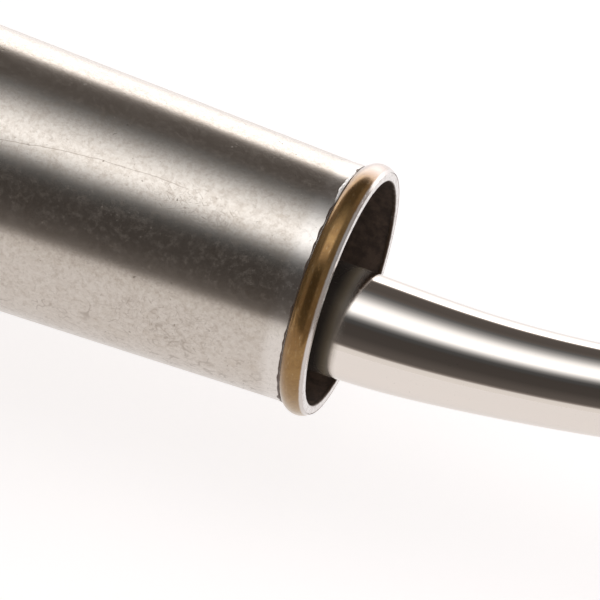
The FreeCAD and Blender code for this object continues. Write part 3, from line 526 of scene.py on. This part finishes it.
def long_scratch(look, flat):
    """One long curved scratch along the top of the tube."""
    along, across = look.split(flat)[:2]
    behind = look.math("SUBTRACT", along, SCRATCH_X)
    curve = look.times(look.times(behind, behind), SCRATCH_CURVE)
    wander = look.times(look.clouds(0.25), 0.9)
    route = look.plus(look.plus(curve, SCRATCH_ROUND), wander)
    line = look.fade(look.away(across, route), 0.03, 0.13)
    return look.times(line, look.fade(along, *SCRATCH_END))


def soot():
    """The baked brown-black inside of the tube."""
    look = Look("sooty_bore")
    crust = look.clouds(0.4, 6.0, 0.65)
    scale = look.clouds(2.5, 4.0, 0.6)
    color = look.mix(look.spread(crust, 0.35, 0.65), rgb(0.085, 0.060, 0.048),
                     rgb(0.17, 0.120, 0.092))
    rough = look.spread(scale, 0.2, 0.8, 0.42, 0.7)
    return look.finish(color, rough, look.bump(scale, 0.008, look.bump(crust, 0.02)), 0.3)


def old_brass():
    """The bead: brown brass, made paler below by a painted reflection of the floor, with a painted
    pinkish reflection of the sky on its right side, and silvery at the lip.
    """
    look = Look("old_brass")
    x, y, z = look.split(look.millimetres())[:3]
    cloud = look.clouds(0.2, 5.0, 0.6)
    grain = look.clouds(1.6, 5.0, 0.7)
    spots = look.spread(look.clouds(1.1, 4.0, 0.7), 0.62, 0.72)
    marks = look.spread(look.clouds((5.0, 0.6, 0.6)), 0.64, 0.70)
    brown = look.mix(look.spread(cloud, 0.35, 0.65), rgb(0.29, 0.165, 0.055),
                     rgb(0.22, 0.115, 0.035))
    # painted reflection of the bright floor: the bead made paler towards its bottom
    floor_reflected = look.tint(brown, (look.fade(z, *BEAD_FLOOR_REFLECTION), 0.8, rgb(0.47, 0.34, 0.17)))
    grained = look.mix(look.spread(grain, 0.3, 0.7, 0.0, 0.6), floor_reflected, rgb(0.21, 0.115, 0.038))
    # painted reflection of the pale sky: a pinkish-grey patch on the bead's right side
    sky_reflected = look.spread(look.plus(y, look.times(cloud, 4.0)), *BEAD_SKY_REFLECTION)
    lip = look.spread(look.plus(x, look.times(grain, 0.3)), *BEAD_LIP)
    color = look.tint(grained, (spots, 0.55, rgb(0.12, 0.07, 0.03)),
                      (marks, 0.25, rgb(0.62, 0.5, 0.32)), (sky_reflected, 0.7, rgb(0.64, 0.55, 0.52)),
                      (lip, 0.85, rgb(0.64, 0.60, 0.58)))
    pitted = look.bump(look.less(spots), 0.015, look.bump(grain, 0.009))
    return look.finish(color, look.ramp(grain, 0.12, 0.11), pitted, 0.8, Coat_Weight=0.2,
                       Coat_Roughness=0.05)


def silver_edge():
    """The bright worn end face of the tube, sooty at its inner edge."""
    look = Look("bright_edge")
    wear = look.clouds(0.6, 5.0, 0.65)
    nicks = look.spread(look.clouds(1.6, 3.0), 0.62, 0.70)
    bright = look.mix(look.spread(wear, 0.45, 0.7), rgb(0.76, 0.73, 0.715), rgb(0.60, 0.56, 0.53))
    worn = look.mix(nicks, bright, rgb(0.3, 0.25, 0.22))
    radius = look.from_axis(look.split(look.millimetres()))
    sooty = look.fade(look.plus(radius, look.times(wear, 0.5)), *LIP_SOOTY)
    color = look.mix(sooty, worn, rgb(0.10, 0.07, 0.05))
    rough = look.plus(look.spread(wear, 0.3, 0.7, 0.2, 0.4), look.times(sooty, 0.3))
    return look.finish(color, rough, look.bump(nicks, 0.03), 1.0)


def dark_solder():
    """Dark, lumpy solder, with one blob on top painted pale: partly bright tin, partly a painted
    highlight.
    """
    look = Look("dark_solder")
    _, y, z = look.split(look.millimetres())[:3]
    lumps = look.clouds(1.2, 4.0, 0.6)
    across = look.times(look.spread(y, *TIN_HIGHLIGHT_START), look.fade(y, *TIN_HIGHLIGHT_END))
    # a pale patch on the blob on top: partly bright tin, partly a painted highlight
    tin_and_highlight = look.times(across, look.spread(z, *TIN_HIGHLIGHT_ABOVE))
    dark = look.mix(lumps, rgb(0.05, 0.035, 0.03), rgb(0.16, 0.11, 0.08))
    color = look.mix(tin_and_highlight, dark, rgb(0.85, 0.83, 0.81))
    rough = look.spread(lumps, 0.3, 0.7, 0.3, 0.6)
    return look.finish(color, rough, look.bump(lumps, 0.05), 0.6)


def mirror_polish():
    """The spout's polished chrome, with painted shade and a painted olive reflection of the tube's
    inside at its root, with hairlines and pin pits.
    """
    look = Look("mirror_polish")
    along = look.split(look.millimetres())[0]
    cloud = look.clouds(0.08, 3.0)
    pins = look.spread(look.clouds(2.6), 0.73, 0.77)
    hair = look.spread(look.clouds((0.3, 7.0, 7.0), 1.0), 0.72, 0.76)
    # root: painted shade and a painted olive reflection of the tube's inside, over the spout's
    # first millimetres
    root = look.fade(look.plus(along, look.times(cloud, 2.0)), *ROOT_PAINTED_SHADE)
    # painted shade, darkest where the spout lies inside the tube's mouth
    painted_darkest = look.fade(along, *ROOT_PAINTED_DARKEST)
    painted_root_colour = look.mix(painted_darkest, rgb(0.17, 0.125, 0.055), rgb(0.03, 0.021, 0.016))
    color = look.tint(rgb(0.71, 0.655, 0.605), (pins, 0.6, rgb(0.3, 0.26, 0.23)),
                      (root, 0.85, painted_root_colour))
    polish = look.plus(look.spread(cloud, 0.3, 0.7, 0.03, 0.06), look.times(hair, 0.06))
    rough = look.plus(polish, look.times(root, 0.2))
    # the painted root is made less metallic, so its painted shade and reflection show as flat
    # colour
    painted_shade_dulling = look.times(root, look.less(look.times(painted_darkest, 0.5), 0.8))
    return look.finish(color, rough, look.bump(cloud, 0.01), look.less(painted_shade_dulling))


# ------------------------------------------------------------------ pieces in the picture

def tube_skin(plate, dark):
    """The air tube: a slightly dented, tapering sheet tube, sooty inside."""
    length = RIM_REAR_X - TUBE_REAR_X

    def wobble(x, bearing, radius):
        away = max(0.0, min(1.0, (BEAD_REAR_X - x) / (8 * MM)))
        broad = smooth_noise(x, bearing, radius, 21 * MM, 3)
        tight = smooth_noise(x, bearing, radius, 7 * MM, 8)
        flare = 0.16 * max(0.0, 1 - abs(x - BEAD_REAR_X) / (4 * MM)) ** 2
        return (away * (0.05 * broad + 0.010 * tight) + flare) * MM

    outer = [(x, tube_radius(x) - TUBE_INSET)
             for x in steps(TUBE_REAR_X, RIM_REAR_X, TUBE_OUTSIDE) + [RIM_REAR_X]]
    inner = [(x, tube_radius(x) - SHEET_WALL)
             for x in [RIM_REAR_X - length * i / TUBE_INSIDE for i in range(TUBE_INSIDE + 1)]]
    piece = new_piece("tube_skin", ring_mesh(turned_rings(outer + inner, ROUND, wobble)),
                      [plate, dark], "burner_housing", "air_tube")
    for polygon in piece.data.polygons:
        if TUBE_OUTSIDE < polygon.index // ROUND < TUBE_OUTSIDE + TUBE_INSIDE + 1:
            polygon.material_index = 1


def bead_skin(brass):
    """The half-oval brass bead round the mouth."""
    start = Vector((BEAD_REAR_X, tube_radius(BEAD_REAR_X)))
    end = Vector((MOUTH_X, RIM_OUTER))
    half = (end - start) / 2
    out = Vector((-half.y, half.x)).normalized()
    middle = (start + end) / 2 - out * math.sqrt(BEAD_CURVE ** 2 - half.length_squared)
    sweep = math.asin(half.length / BEAD_CURVE)
    parts, under_gap = 32, 0.04 * MM

    def wobble(x, bearing, radius):
        return BEAD_INSET * smooth_noise(x, bearing, radius, 5 * MM, 5) if radius > end.y else 0

    profile = []
    for i in range(parts + 1):
        t = -sweep + 2 * sweep * i / parts
        x, r = middle + BEAD_CURVE * (out * math.cos(t) + half.normalized() * math.sin(t))
        profile.append((x, r - BEAD_INSET if r > end.y else r))
    profile += [(RIM_REAR_X, RIM_OUTER), (RIM_REAR_X, tube_radius(RIM_REAR_X) - under_gap),
                (BEAD_REAR_X, start.y - under_gap)]
    new_piece("bead_skin", ring_mesh(turned_rings(profile, ROUND, wobble)), [brass],
              "burner_housing", "mouth_bead")


def rim_skin(silver):
    """The bright lip of the tube's mouth, worn and nicked on its inner edge."""
    lip, parts = 0.3 * MM, 5

    def wobble(x, bearing, radius):
        worn = smooth_noise(x, bearing, radius, 3 * MM, 11)
        nick = max(0.0, smooth_noise(x, bearing, radius, 1.2 * MM, 17) - 0.35)
        return (0.04 * worn + 0.35 * nick) * MM if radius < RIM_OUTER - lip else 0

    def corner(radius, inward):
        turns = [math.pi / 2 * i / parts for i in range(parts + 1)]
        return [(MOUTH_X - lip * (1 - math.sin(t)), radius + inward * lip * (1 - math.cos(t)))
                for t in turns]

    profile = [(RIM_REAR_X, RIM_OUTER)] + corner(RIM_OUTER, -1)
    profile += corner(RIM_INNER, 1)[::-1] + [(RIM_REAR_X, RIM_INNER)]
    new_piece("rim_skin", ring_mesh(turned_rings(profile, ROUND, wobble)), [silver],
              "burner_housing", "mouth_rim")


def solder_line(solder):
    """The broken fillet of solder behind the bead, with a blob on top and a heap at its side."""
    low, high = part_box("bead_solder")
    sunk = 0.15 * MM
    foot = tube_radius(high.x) - sunk
    rings = []
    for j in range(ROUND):
        bearing = TAU * j / ROUND
        lump = smooth_noise(low.x, bearing, high.z, 2.5 * MM, 13)
        spill = max(0.0, smooth_noise(low.x, bearing, high.z, 1.6 * MM, 31))
        degrees = (math.degrees(bearing) + 180) % 360 - 180
        blob = max(0.0, 1 - ((degrees + 20) / 12) ** 2)
        heap = max(0.0, 1 - ((degrees - 100) / 40) ** 2)
        width = (high.x - low.x) * (0.9 + 0.35 * lump + 1.8 * spill + 1.5 * blob + 0.9 * heap)
        height = (high.z - tube_radius(high.x)) * (0.8 + 0.28 * lump + 0.9 * blob)
        fillet = [(high.x - width * back, foot + sunk + height * up)
                  for back, up in ((0, 1), (0.35, 0.85), (0.75, 0.4))]
        section = [(high.x, foot)] + fillet + [(high.x - width, foot)]
        rings.append([round_point(x, r, bearing) for x, r in section])
    new_piece("solder_line", ring_mesh(rings), [solder], "burner_housing", "bead_solder")


def spout_place(reach):
    """The spout's centre, its direction and its sideways direction, at a length past the mouth."""
    side = Vector((0, math.sin(SPOUT_ROLL), math.cos(SPOUT_ROLL)))
    root = Vector((MOUTH_X, 0, 0)) - side * SPOUT_OFFSET
    turn = max(reach, 0) / BEND_RADIUS
    along = reach if reach < 0 else BEND_RADIUS * math.sin(turn)
    centre = root + Vector((along, 0, 0)) + side * BEND_RADIUS * (1 - math.cos(turn))
    return centre, Vector((math.cos(turn), 0, 0)) + side * math.sin(turn), side


def spout_radius(reach):
    """The spout's outer radius at a length past the mouth."""
    if reach < 0:
        return PIPE_ROOT
    return PIPE_TIP + (PIPE_ROOT - PIPE_TIP) / (1 + (reach / PIPE_TAPER) ** 2)


def spout_skin(chrome):
    """The mirror-polished pipe that carries the nozzle out of the tube's mouth."""
    count, span, inset = 192, 160, 0.01 * MM
    total = PIPE_REAR + PIPE_REACH
    stations = [-PIPE_REAR + total * i / span for i in range(span + 1)]
    walls = [(reach, -inset) for reach in stations]
    walls += [(reach, -PIPE_WALL) for reach in reversed(stations[::4])]
    turns = [TAU * j / count for j in range(count)]
    rings = []
    for reach, less in walls:
        centre, ahead, side = spout_place(reach)
        across = Vector((-1, 0, 0)).cross(side)
        out = (side - ahead * side.dot(ahead)).normalized()
        radius = spout_radius(reach) + less
        rings.append([centre + (out * math.cos(turn) + across * math.sin(turn)) * radius
                      for turn in turns])
    new_piece("spout_skin", ring_mesh(rings), [chrome], "spout", "nozzle_pipe")


# ------------------------------------------------------------------ finishes of the fittings

def cast_iron():
    """Grey cast iron with a fine sand-cast skin and traces of rust."""
    look = Look("cast_iron")
    skin = look.clouds(1.4, 5.0, 0.65)
    cloud = look.clouds(0.07, 4.0, 0.6)
    rust = look.spread(look.clouds(0.25, 6.0, 0.7, shift=(3, 1, 8)), 0.56, 0.70)
    iron = look.mix(cloud, rgb(0.085, 0.083, 0.082), rgb(0.125, 0.12, 0.115))
    speckled = look.mix(look.spread(skin, 0.45, 0.75), iron, rgb(0.19, 0.18, 0.17))
    color = look.tint(speckled, (rust, 0.5, rgb(0.21, 0.095, 0.045)))
    return look.finish(color, look.ramp(skin, 0.25, 0.36), look.bump(skin, 0.09), 0.75)


def turned_steel(name, bright, dull, seed):
    """Machined steel: lathe rings round X, a little oil stain and fine wear."""
    look = Look(name)
    rings_per_mm = 6.0
    parts = look.split(look.millimetres())
    rings = look.node("ShaderNodeCombineXYZ", X=look.times(parts[0], rings_per_mm),
                      Y=look.times(look.from_axis(parts), rings_per_mm))
    stain = look.spread(look.clouds(0.18, 5.0, 0.65, shift=(seed, 0, 0)), 0.48, 0.72)
    specks = look.spread(look.clouds(1.5, 3.0, shift=(0, seed, 0)), 0.68, 0.74)
    color = look.tint(bright, (stain, 0.6, dull), (specks, 0.6, rgb(0.15, 0.11, 0.08)))
    lathe = look.bump(look.noise(rings.outputs[0]), 0.004)
    return look.finish(color, look.ramp(stain, 0.16, 0.22), look.bump(specks, 0.01, lathe), 1.0)


def machined_brass():
    """Machined brass with finger-dull patches and darker tarnish in its clouds."""
    look = Look("machined_brass")
    cloud = look.clouds(0.15, 5.0, 0.6, shift=(2, 2, 0))
    grain = look.clouds(2.0, 4.0, 0.6)
    spots = look.spread(look.clouds(0.9, 4.0, shift=(0, 2, 2)), 0.64, 0.72)
    base = look.mix(look.spread(cloud, 0.38, 0.68), rgb(0.70, 0.50, 0.22), rgb(0.44, 0.29, 0.11))
    color = look.tint(base, (spots, 0.5, rgb(0.2, 0.12, 0.05)))
    return look.finish(color, look.ramp(cloud, 0.25, 0.14), look.bump(grain, 0.006), 1.0)


def pressed_fibre():
    """The flange gasket: pale grey-green pressed fibre with short threads in it."""
    look = Look("pressed_fibre")
    threads = look.clouds((0.6, 2.6, 0.9), 5.0, 0.7, 0.8)
    cloud = look.clouds(0.1, 3.0)
    fibre = look.mix(look.spread(threads, 0.35, 0.65), rgb(0.30, 0.31, 0.29),
                     rgb(0.47, 0.47, 0.43))
    color = look.mix(look.spread(cloud, 0.5, 0.75, 0.0, 0.6), fibre, rgb(0.14, 0.13, 0.11))
    return look.finish(color, 0.85, look.bump(threads, 0.06), 0.0)


def graphite_cord():
    """Black plaited packing."""
    look = Look("graphite_cord")
    weave = look.node("ShaderNodeTexWave", {"wave_type": "BANDS", "bands_direction": "DIAGONAL"},
                      Vector=look.millimetres(), Scale=0.9, Distortion=2.0, Detail=2.0)
    color = look.mix(weave.outputs["Fac"], rgb(0.02, 0.02, 0.022), rgb(0.09, 0.09, 0.095))
    return look.finish(color, 0.55, look.bump(weave.outputs["Fac"], 0.08), 0.2)


def soft_copper():
    """Copper washers, dull in patches."""
    look = Look("soft_copper")
    cloud = look.clouds(0.4, 5.0, 0.6)
    color = look.mix(look.spread(cloud, 0.35, 0.7), rgb(0.72, 0.33, 0.2), rgb(0.3, 0.14, 0.09))
    return look.finish(color, look.spread(cloud, 0.3, 0.7, 0.2, 0.4), look.bump(cloud, 0.02), 1.0)


def wheel_enamel():
    """Red enamel on the cast handwheel, chipped to dark iron in spots."""
    look = Look("wheel_enamel")
    orange_peel = look.clouds(0.9)
    cloud = look.clouds(0.12, 4.0, 0.6)
    chips = look.spread(look.clouds(0.45, 7.0, 0.7, shift=(5, 5, 5)), 0.635, 0.655)
    paint = look.mix(cloud, rgb(0.42, 0.028, 0.018), rgb(0.27, 0.018, 0.012))
    color = look.mix(chips, paint, rgb(0.09, 0.075, 0.065))
    chipped = look.bump(look.less(chips), 0.06, look.bump(orange_peel, 0.03))
    return look.finish(color, look.ramp(chips, 0.3, 0.28), chipped, 0.0, Coat_Weight=0.25,
                       Coat_Roughness=0.2)


def sintered_bronze():
    """The nozzle's filter: small fused bronze beads."""
    look = Look("sintered_bronze")
    beads = look.node("ShaderNodeTexVoronoi", Vector=look.millimetres(), Scale=2.6)
    far = beads.outputs["Distance"]
    color = look.mix(look.spread(far, 0.1, 0.55), rgb(0.55, 0.33, 0.16), rgb(0.12, 0.065, 0.03))
    return look.finish(color, 0.42, look.bump(look.less(far), 0.12), 0.9)


# ------------------------------------------------------------------ pieces behind the flange

def facing(origin, direction, roll=0.0):
    """A placement that turns local +X towards a direction."""
    turn = Vector(direction).to_track_quat("X", "Z").to_matrix().to_4x4()
    return Matrix.Translation(origin) @ turn @ Matrix.Rotation(roll, 4, "X")


def at_bearing(x, bearing, out):
    """A placement on the drum's or tube's side, local +X pointing outwards."""
    ahead = Vector(round_point(0, 1, bearing))
    return facing(Vector((x, 0, 0)) + ahead * out, ahead, bearing * 3)


def middle_x(node):
    """The middle of a CAD node along X."""
    low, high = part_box(node)
    return (low.x + high.x) / 2


def solid_turned(profile, count, shape=None):
    """A closed mesh turned about X from (x, radius) points that start and end on the axis."""
    verts = []
    for x, radius in profile[1:-1]:
        for j in range(count):
            angle = TAU * j / count
            out = shape(x, radius, angle) if shape else radius
            verts.append((x, out * math.cos(angle), out * math.sin(angle)))
    rings = len(profile) - 2
    faces = walls_between([(i, i + 1) for i in range(rings - 1)], count)
    first, last, base = len(verts), len(verts) + 1, (rings - 1) * count
    verts += [(profile[0][0], 0, 0), (profile[-1][0], 0, 0)]
    for j in range(count):
        k = (j + 1) % count
        faces += [(first, k, j), (last, base + j, base + k)]
    return verts, faces


def cut_out(surface, low, high):
    """The surface less a box between two corners, by an exact boolean."""
    def solid(name, verts, faces):
        mesh = bpy.data.meshes.new(name)
        mesh.from_pydata(verts, [], faces)
        piece = bpy.data.objects.new(name, mesh)
        bpy.context.scene.collection.objects.link(piece)
        return piece

    corners = [(x, y, z) for x in (low[0], high[0]) for y in (low[1], high[1])
               for z in (low[2], high[2])]
    sides = [(0, 1, 3, 2), (4, 6, 7, 5), (0, 4, 5, 1), (2, 3, 7, 6), (0, 2, 6, 4), (1, 5, 7, 3)]
    body = solid("carved", *surface)
    tool = solid("tool", corners, sides)
    modifier = body.modifiers.new("slot", "BOOLEAN")
    modifier.object = tool
    modifier.operation = "DIFFERENCE"
    modifier.solver = "EXACT"
    carved = bpy.data.meshes.new_from_object(
        body.evaluated_get(bpy.context.evaluated_depsgraph_get()))
    result = ([vertex.co.copy() for vertex in carved.vertices],
              [tuple(polygon.vertices) for polygon in carved.polygons])
    for piece in (body, tool):
        bpy.data.objects.remove(piece)
    bpy.data.meshes.remove(carved)
    return result


def copies(surface, places):
    """One surface at each of several placements."""
    verts, faces = surface
    all_verts, all_faces = [], []
    for place in places:
        start = len(all_verts)
        all_verts += [place @ Vector(point) for point in verts]
        all_faces += [tuple(index + start for index in face) for face in faces]
    return all_verts, all_faces


def slotted_screw(radius, height, stem, stem_length):
    """A cheese-head screw in millimetres: a domed, slotted head on local +X, its stem behind."""
    dome = [(height * math.cos(t) ** 0.6, radius * math.sin(t) ** 0.6)
            for t in (math.pi / 2 * i / 12 for i in range(13))]
    profile = [(-stem_length, 0), (-stem_length, stem), (0, stem)] + dome[::-1]
    half, depth, beyond = radius * 0.16 * MM, height * 0.5 * MM, 20 * MM
    top = height * MM
    return cut_out(solid_turned([(x * MM, r * MM) for x, r in profile], 64),
                   (top - depth, -half, -beyond), (top + beyond / 2, half, beyond))


def screws(steel):
    """The cover's, collar's and spider's screws, each with a slot turned its own way."""
    cover_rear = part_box("rear_cover")[1].x - 4 * MM
    cover_circle, collar_seat = 35.25 * MM, 35.2 * MM
    cover = []
    for i in range(4):
        spot = Vector(round_point(cover_rear, cover_circle, math.radians(45 + 90 * i)))
        cover.append(facing(spot, (-1, 0, 0), i * 0.9))
    collar_x, spider_x = middle_x("drum_screws"), middle_x("spider_screws")
    collar = [at_bearing(collar_x, TAU * i / 3, collar_seat) for i in range(3)]
    spider_seat = tube_radius(spider_x) + 0.1 * MM
    spider = [at_bearing(spider_x, TAU * i / 3, spider_seat) for i in range(3)]

    # head radius and height, stem radius and length
    for name, node, sizes, places in (
            ("cover_screws_slotted", "cover_screws", (3.6, 2.6, 1.95, 9.9), cover),
            ("collar_screws_slotted", "drum_screws", (2.45, 0.7, 2.45, 4.3), collar),
            ("spider_screws_slotted", "spider_screws", (2.8, 1.6, 1.45, 6), spider)):
        new_piece(name, copies(slotted_screw(*sizes), places), [steel], "burner_housing", node,
                  35)


def rounded(profile, size):
    """A closed (x, radius) outline with every corner rounded off by a small arc."""
    parts = 4
    points = [Vector(point) for point in profile]
    made = []
    for before, corner, after in zip(points[-1:] + points[:-1], points, points[1:] + points[:1]):
        back, ahead = (before - corner), (after - corner)
        cut = min(size, back.length * 0.45, ahead.length * 0.45)
        start, end = corner + back.normalized() * cut, corner + ahead.normalized() * cut
        for i in range(parts + 1):
            s = i / parts
            made.append(start * (1 - s) ** 2 + corner * 2 * s * (1 - s) + end * s ** 2)
    return [tuple(point) for point in made]


def cover_casting(iron):
    """The rear cover: a cast disc with a raised hub round the valve's neck."""
    low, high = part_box("rear_cover")
    disc_rear, hub, bore = high.x - 4 * MM, 20 * MM, 12 * MM
    profile = rounded([(high.x, bore), (high.x, high.z), (disc_rear, high.z), (disc_rear, hub),
                       (low.x, hub - 0.8 * MM), (low.x, bore)], 0.7 * MM)
    new_piece("cover_casting", ring_mesh(turned_rings(profile[::-1], 256)), [iron],
              "burner_housing", "rear_cover", 50)


def shutter_sheet(steel):
    """The rolled shutter band with its four ports and the slot for its stop pin."""
    low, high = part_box("shutter_band")
    outer = high.z
    ports, port_half = (-70 * MM, -44 * MM), 20
    slot, slot_bearings = (-76.3 * MM, -72.7 * MM), (177.5, 227.5)
    cuts = [low.x, *slot, *ports, high.x]
    stations = []
    for start, end in zip(cuts, cuts[1:]):
        stations += steps(start, end, max(1, round((end - start) / (4 * MM))))
    stations.append(high.x)

    def is_open(x, bearing):
        port = ports[0] < x < ports[1] and min(bearing % 90, 90 - bearing % 90) < port_half
        return port or (slot[0] < x < slot[1] and slot_bearings[0] < bearing < slot_bearings[1])

    # one point for each degree round the band
    verts = [round_point(x, outer, math.radians(b)) for x in stations for b in range(360)]
    faces = []
    for i in range(len(stations) - 1):
        middle = (stations[i] + stations[i + 1]) / 2
        for j in range(360):
            if not is_open(middle, j + 0.5):
                k = (j + 1) % 360
                faces.append((i * 360 + j, (i + 1) * 360 + j, (i + 1) * 360 + k, i * 360 + k))
    piece = new_piece("shutter_sheet", (verts, faces), [steel], "air_shutter", "shutter_band")
    sheet = piece.modifiers.new("sheet", "SOLIDIFY")
    sheet.thickness = 1.2 * MM
    sheet.offset = -1
    round_edges(piece, "edges", 0.18, 50)


def thumb_screw(brass):
    """The shutter's locking screw, with a knurled head."""
    bearing = math.radians(45)
    foot, neck, top, head = 42.1, 47.0, 53.0, 5.0
    ridges, ridge_depth = 36, 0.28 * MM

    def knurl(x, radius, angle):
        gripped = neck + 0.8 < x / MM + foot < top - 0.8 and radius > 4 * MM
        return radius - (ridge_depth * (0.5 - 0.5 * math.cos(ridges * angle)) if gripped else 0)

    band = [neck + 0.7 + (top - neck - 1.4) * i / 8 for i in range(9)]
    profile = [(foot, 0), (foot, 2), (neck - 0.3, 2), (neck, 2.3), (neck, head - 0.6),
               (neck + 0.6, head)] + [(out, head) for out in band]
    profile += [(top - 0.6, head), (top, head - 0.6), (top, 2.6), (top - 0.5, 2.1), (top - 0.5, 0)]
    surface = solid_turned([((out - foot) * MM, r * MM) for out, r in profile], 288, knurl)
    place = at_bearing(middle_x("shutter_screw"), bearing, foot * MM)
    new_piece("thumb_screw_knurled", copies(surface, [place]), [brass], "air_shutter",
              "shutter_screw", 35)


def hexagon(flats, angle):
    """The radius of a hexagon at an angle."""
    return flats / 2 / math.cos((angle + math.pi / 6) % (math.pi / 3) - math.pi / 6)


def inlet_union(brass):
    """The oil inlet's nipple: a chamfered hexagon and a whole pipe thread."""
    pitch, depth, radius, flats, half_corners = 1.337, 0.82, 6.58, 19.0, 10.97
    hex_start, hex_end, end, bore, core = 1.2, 8.2, 20.2, 4.0, 5.9
    count, hex_rings, thread_rings = 180, 15, 111
    origin = Vector((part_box("inlet_nipple")[0].x + half_corners * MM, 0,
                     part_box("nipple_washer")[1].z))

    def shape(along, out, angle):
        if out > 9:
            chamfer = 10.0 + 1.7 * min(along - hex_start, hex_end - along)
            return min(hexagon(flats, angle), chamfer)
        if along > hex_end + 0.5 and out > bore + 1:
            phase = (along / pitch - angle / TAU) % 1.0
            groove = depth * (1 - abs(2 * phase - 1))
            run_in = min(1.0, (along - hex_end - 0.5) / 1.2)
            return min(out - groove * run_in, core + (end - along) * 0.8)
        return out

    profile = [(-8, bore), (-8, radius - 0.4), (-7.6, radius), (hex_start, radius),
               (hex_start, 9.05)]
    profile += [(hex_start + 0.02 + (hex_end - hex_start - 0.04) * i / (hex_rings - 1), 9.5)
                for i in range(hex_rings)]
    profile += [(hex_end, 9.05), (hex_end, core), (hex_end + 0.5, core)]
    profile += [(hex_end + 0.6 + (end - hex_end - 0.6) * i / (thread_rings - 1), radius)
                for i in range(thread_rings)]
    profile += [(end, bore + 0.5), (end - 0.5, bore)]
    rings = []
    for x, out in profile:
        ring = []
        for angle in (TAU * j / count for j in range(count)):
            r = shape(x, out, angle) * MM
            ring.append((x * MM, r * math.cos(angle), r * math.sin(angle)))
        rings.append(ring)
    new_piece("inlet_union_threaded", copies(ring_mesh(rings), [facing(origin, (0, 0, -1))]),
              [brass], "burner_housing", "inlet_nipple", 35)


# ------------------------------------------------------------------ the whole scene

# how far the edges of the larger CAD nodes are rounded, in millimetres, and those of the rest
ROUNDS = {"mounting_flange": 0.7, "air_drum": 0.6, "valve_body": 0.5, "handwheel": 0.6}
SMALL_ROUND = 0.2


def dress(node, material):
    """Give a CAD node a finish of its own, with its sharp edges broken by a small round."""
    piece = frame["nodes"][node]
    for slot in piece.material_slots:
        slot.link = "OBJECT"
        slot.material = material
    weld = piece.modifiers.new("weld", "WELD")
    weld.merge_threshold = 1e-6
    round_edges(piece, "round", ROUNDS.get(node, SMALL_ROUND), 38).harden_normals = True


def fittings():
    """The fittings' own pieces, and a finish for every CAD node that no piece stands for."""
    steel = turned_steel("bright_steel", rgb(0.62, 0.61, 0.60), rgb(0.33, 0.29, 0.25), 1)
    zinc = turned_steel("zinc_steel", rgb(0.56, 0.56, 0.57), rgb(0.27, 0.24, 0.21), 5)
    brass, iron = machined_brass(), cast_iron()
    cover_casting(iron)
    screws(zinc)
    shutter_sheet(steel)
    thumb_screw(brass)
    inlet_union(brass)
    finishes = {
        "bright_steel": steel, "screw_steel": zinc, "cast_iron": iron, "brass": brass,
        "gasket": pressed_fibre(), "packing": graphite_cord(), "copper": soft_copper(),
        "wheel_paint": wheel_enamel(), "sintered_bronze": sintered_bronze()}
    for node, slot_name in SLOT_OF.items():
        if not frame["nodes"][node].hide_render:
            dress(node, finishes[slot_name])


bpy.context.scene.view_settings.view_transform = "Standard"
studio()
floor()
camera()
tube_skin(worn_nickel(), soot())
bead_skin(old_brass())
rim_skin(silver_edge())
solder_line(dark_solder())
spout_skin(mirror_polish())
fittings()
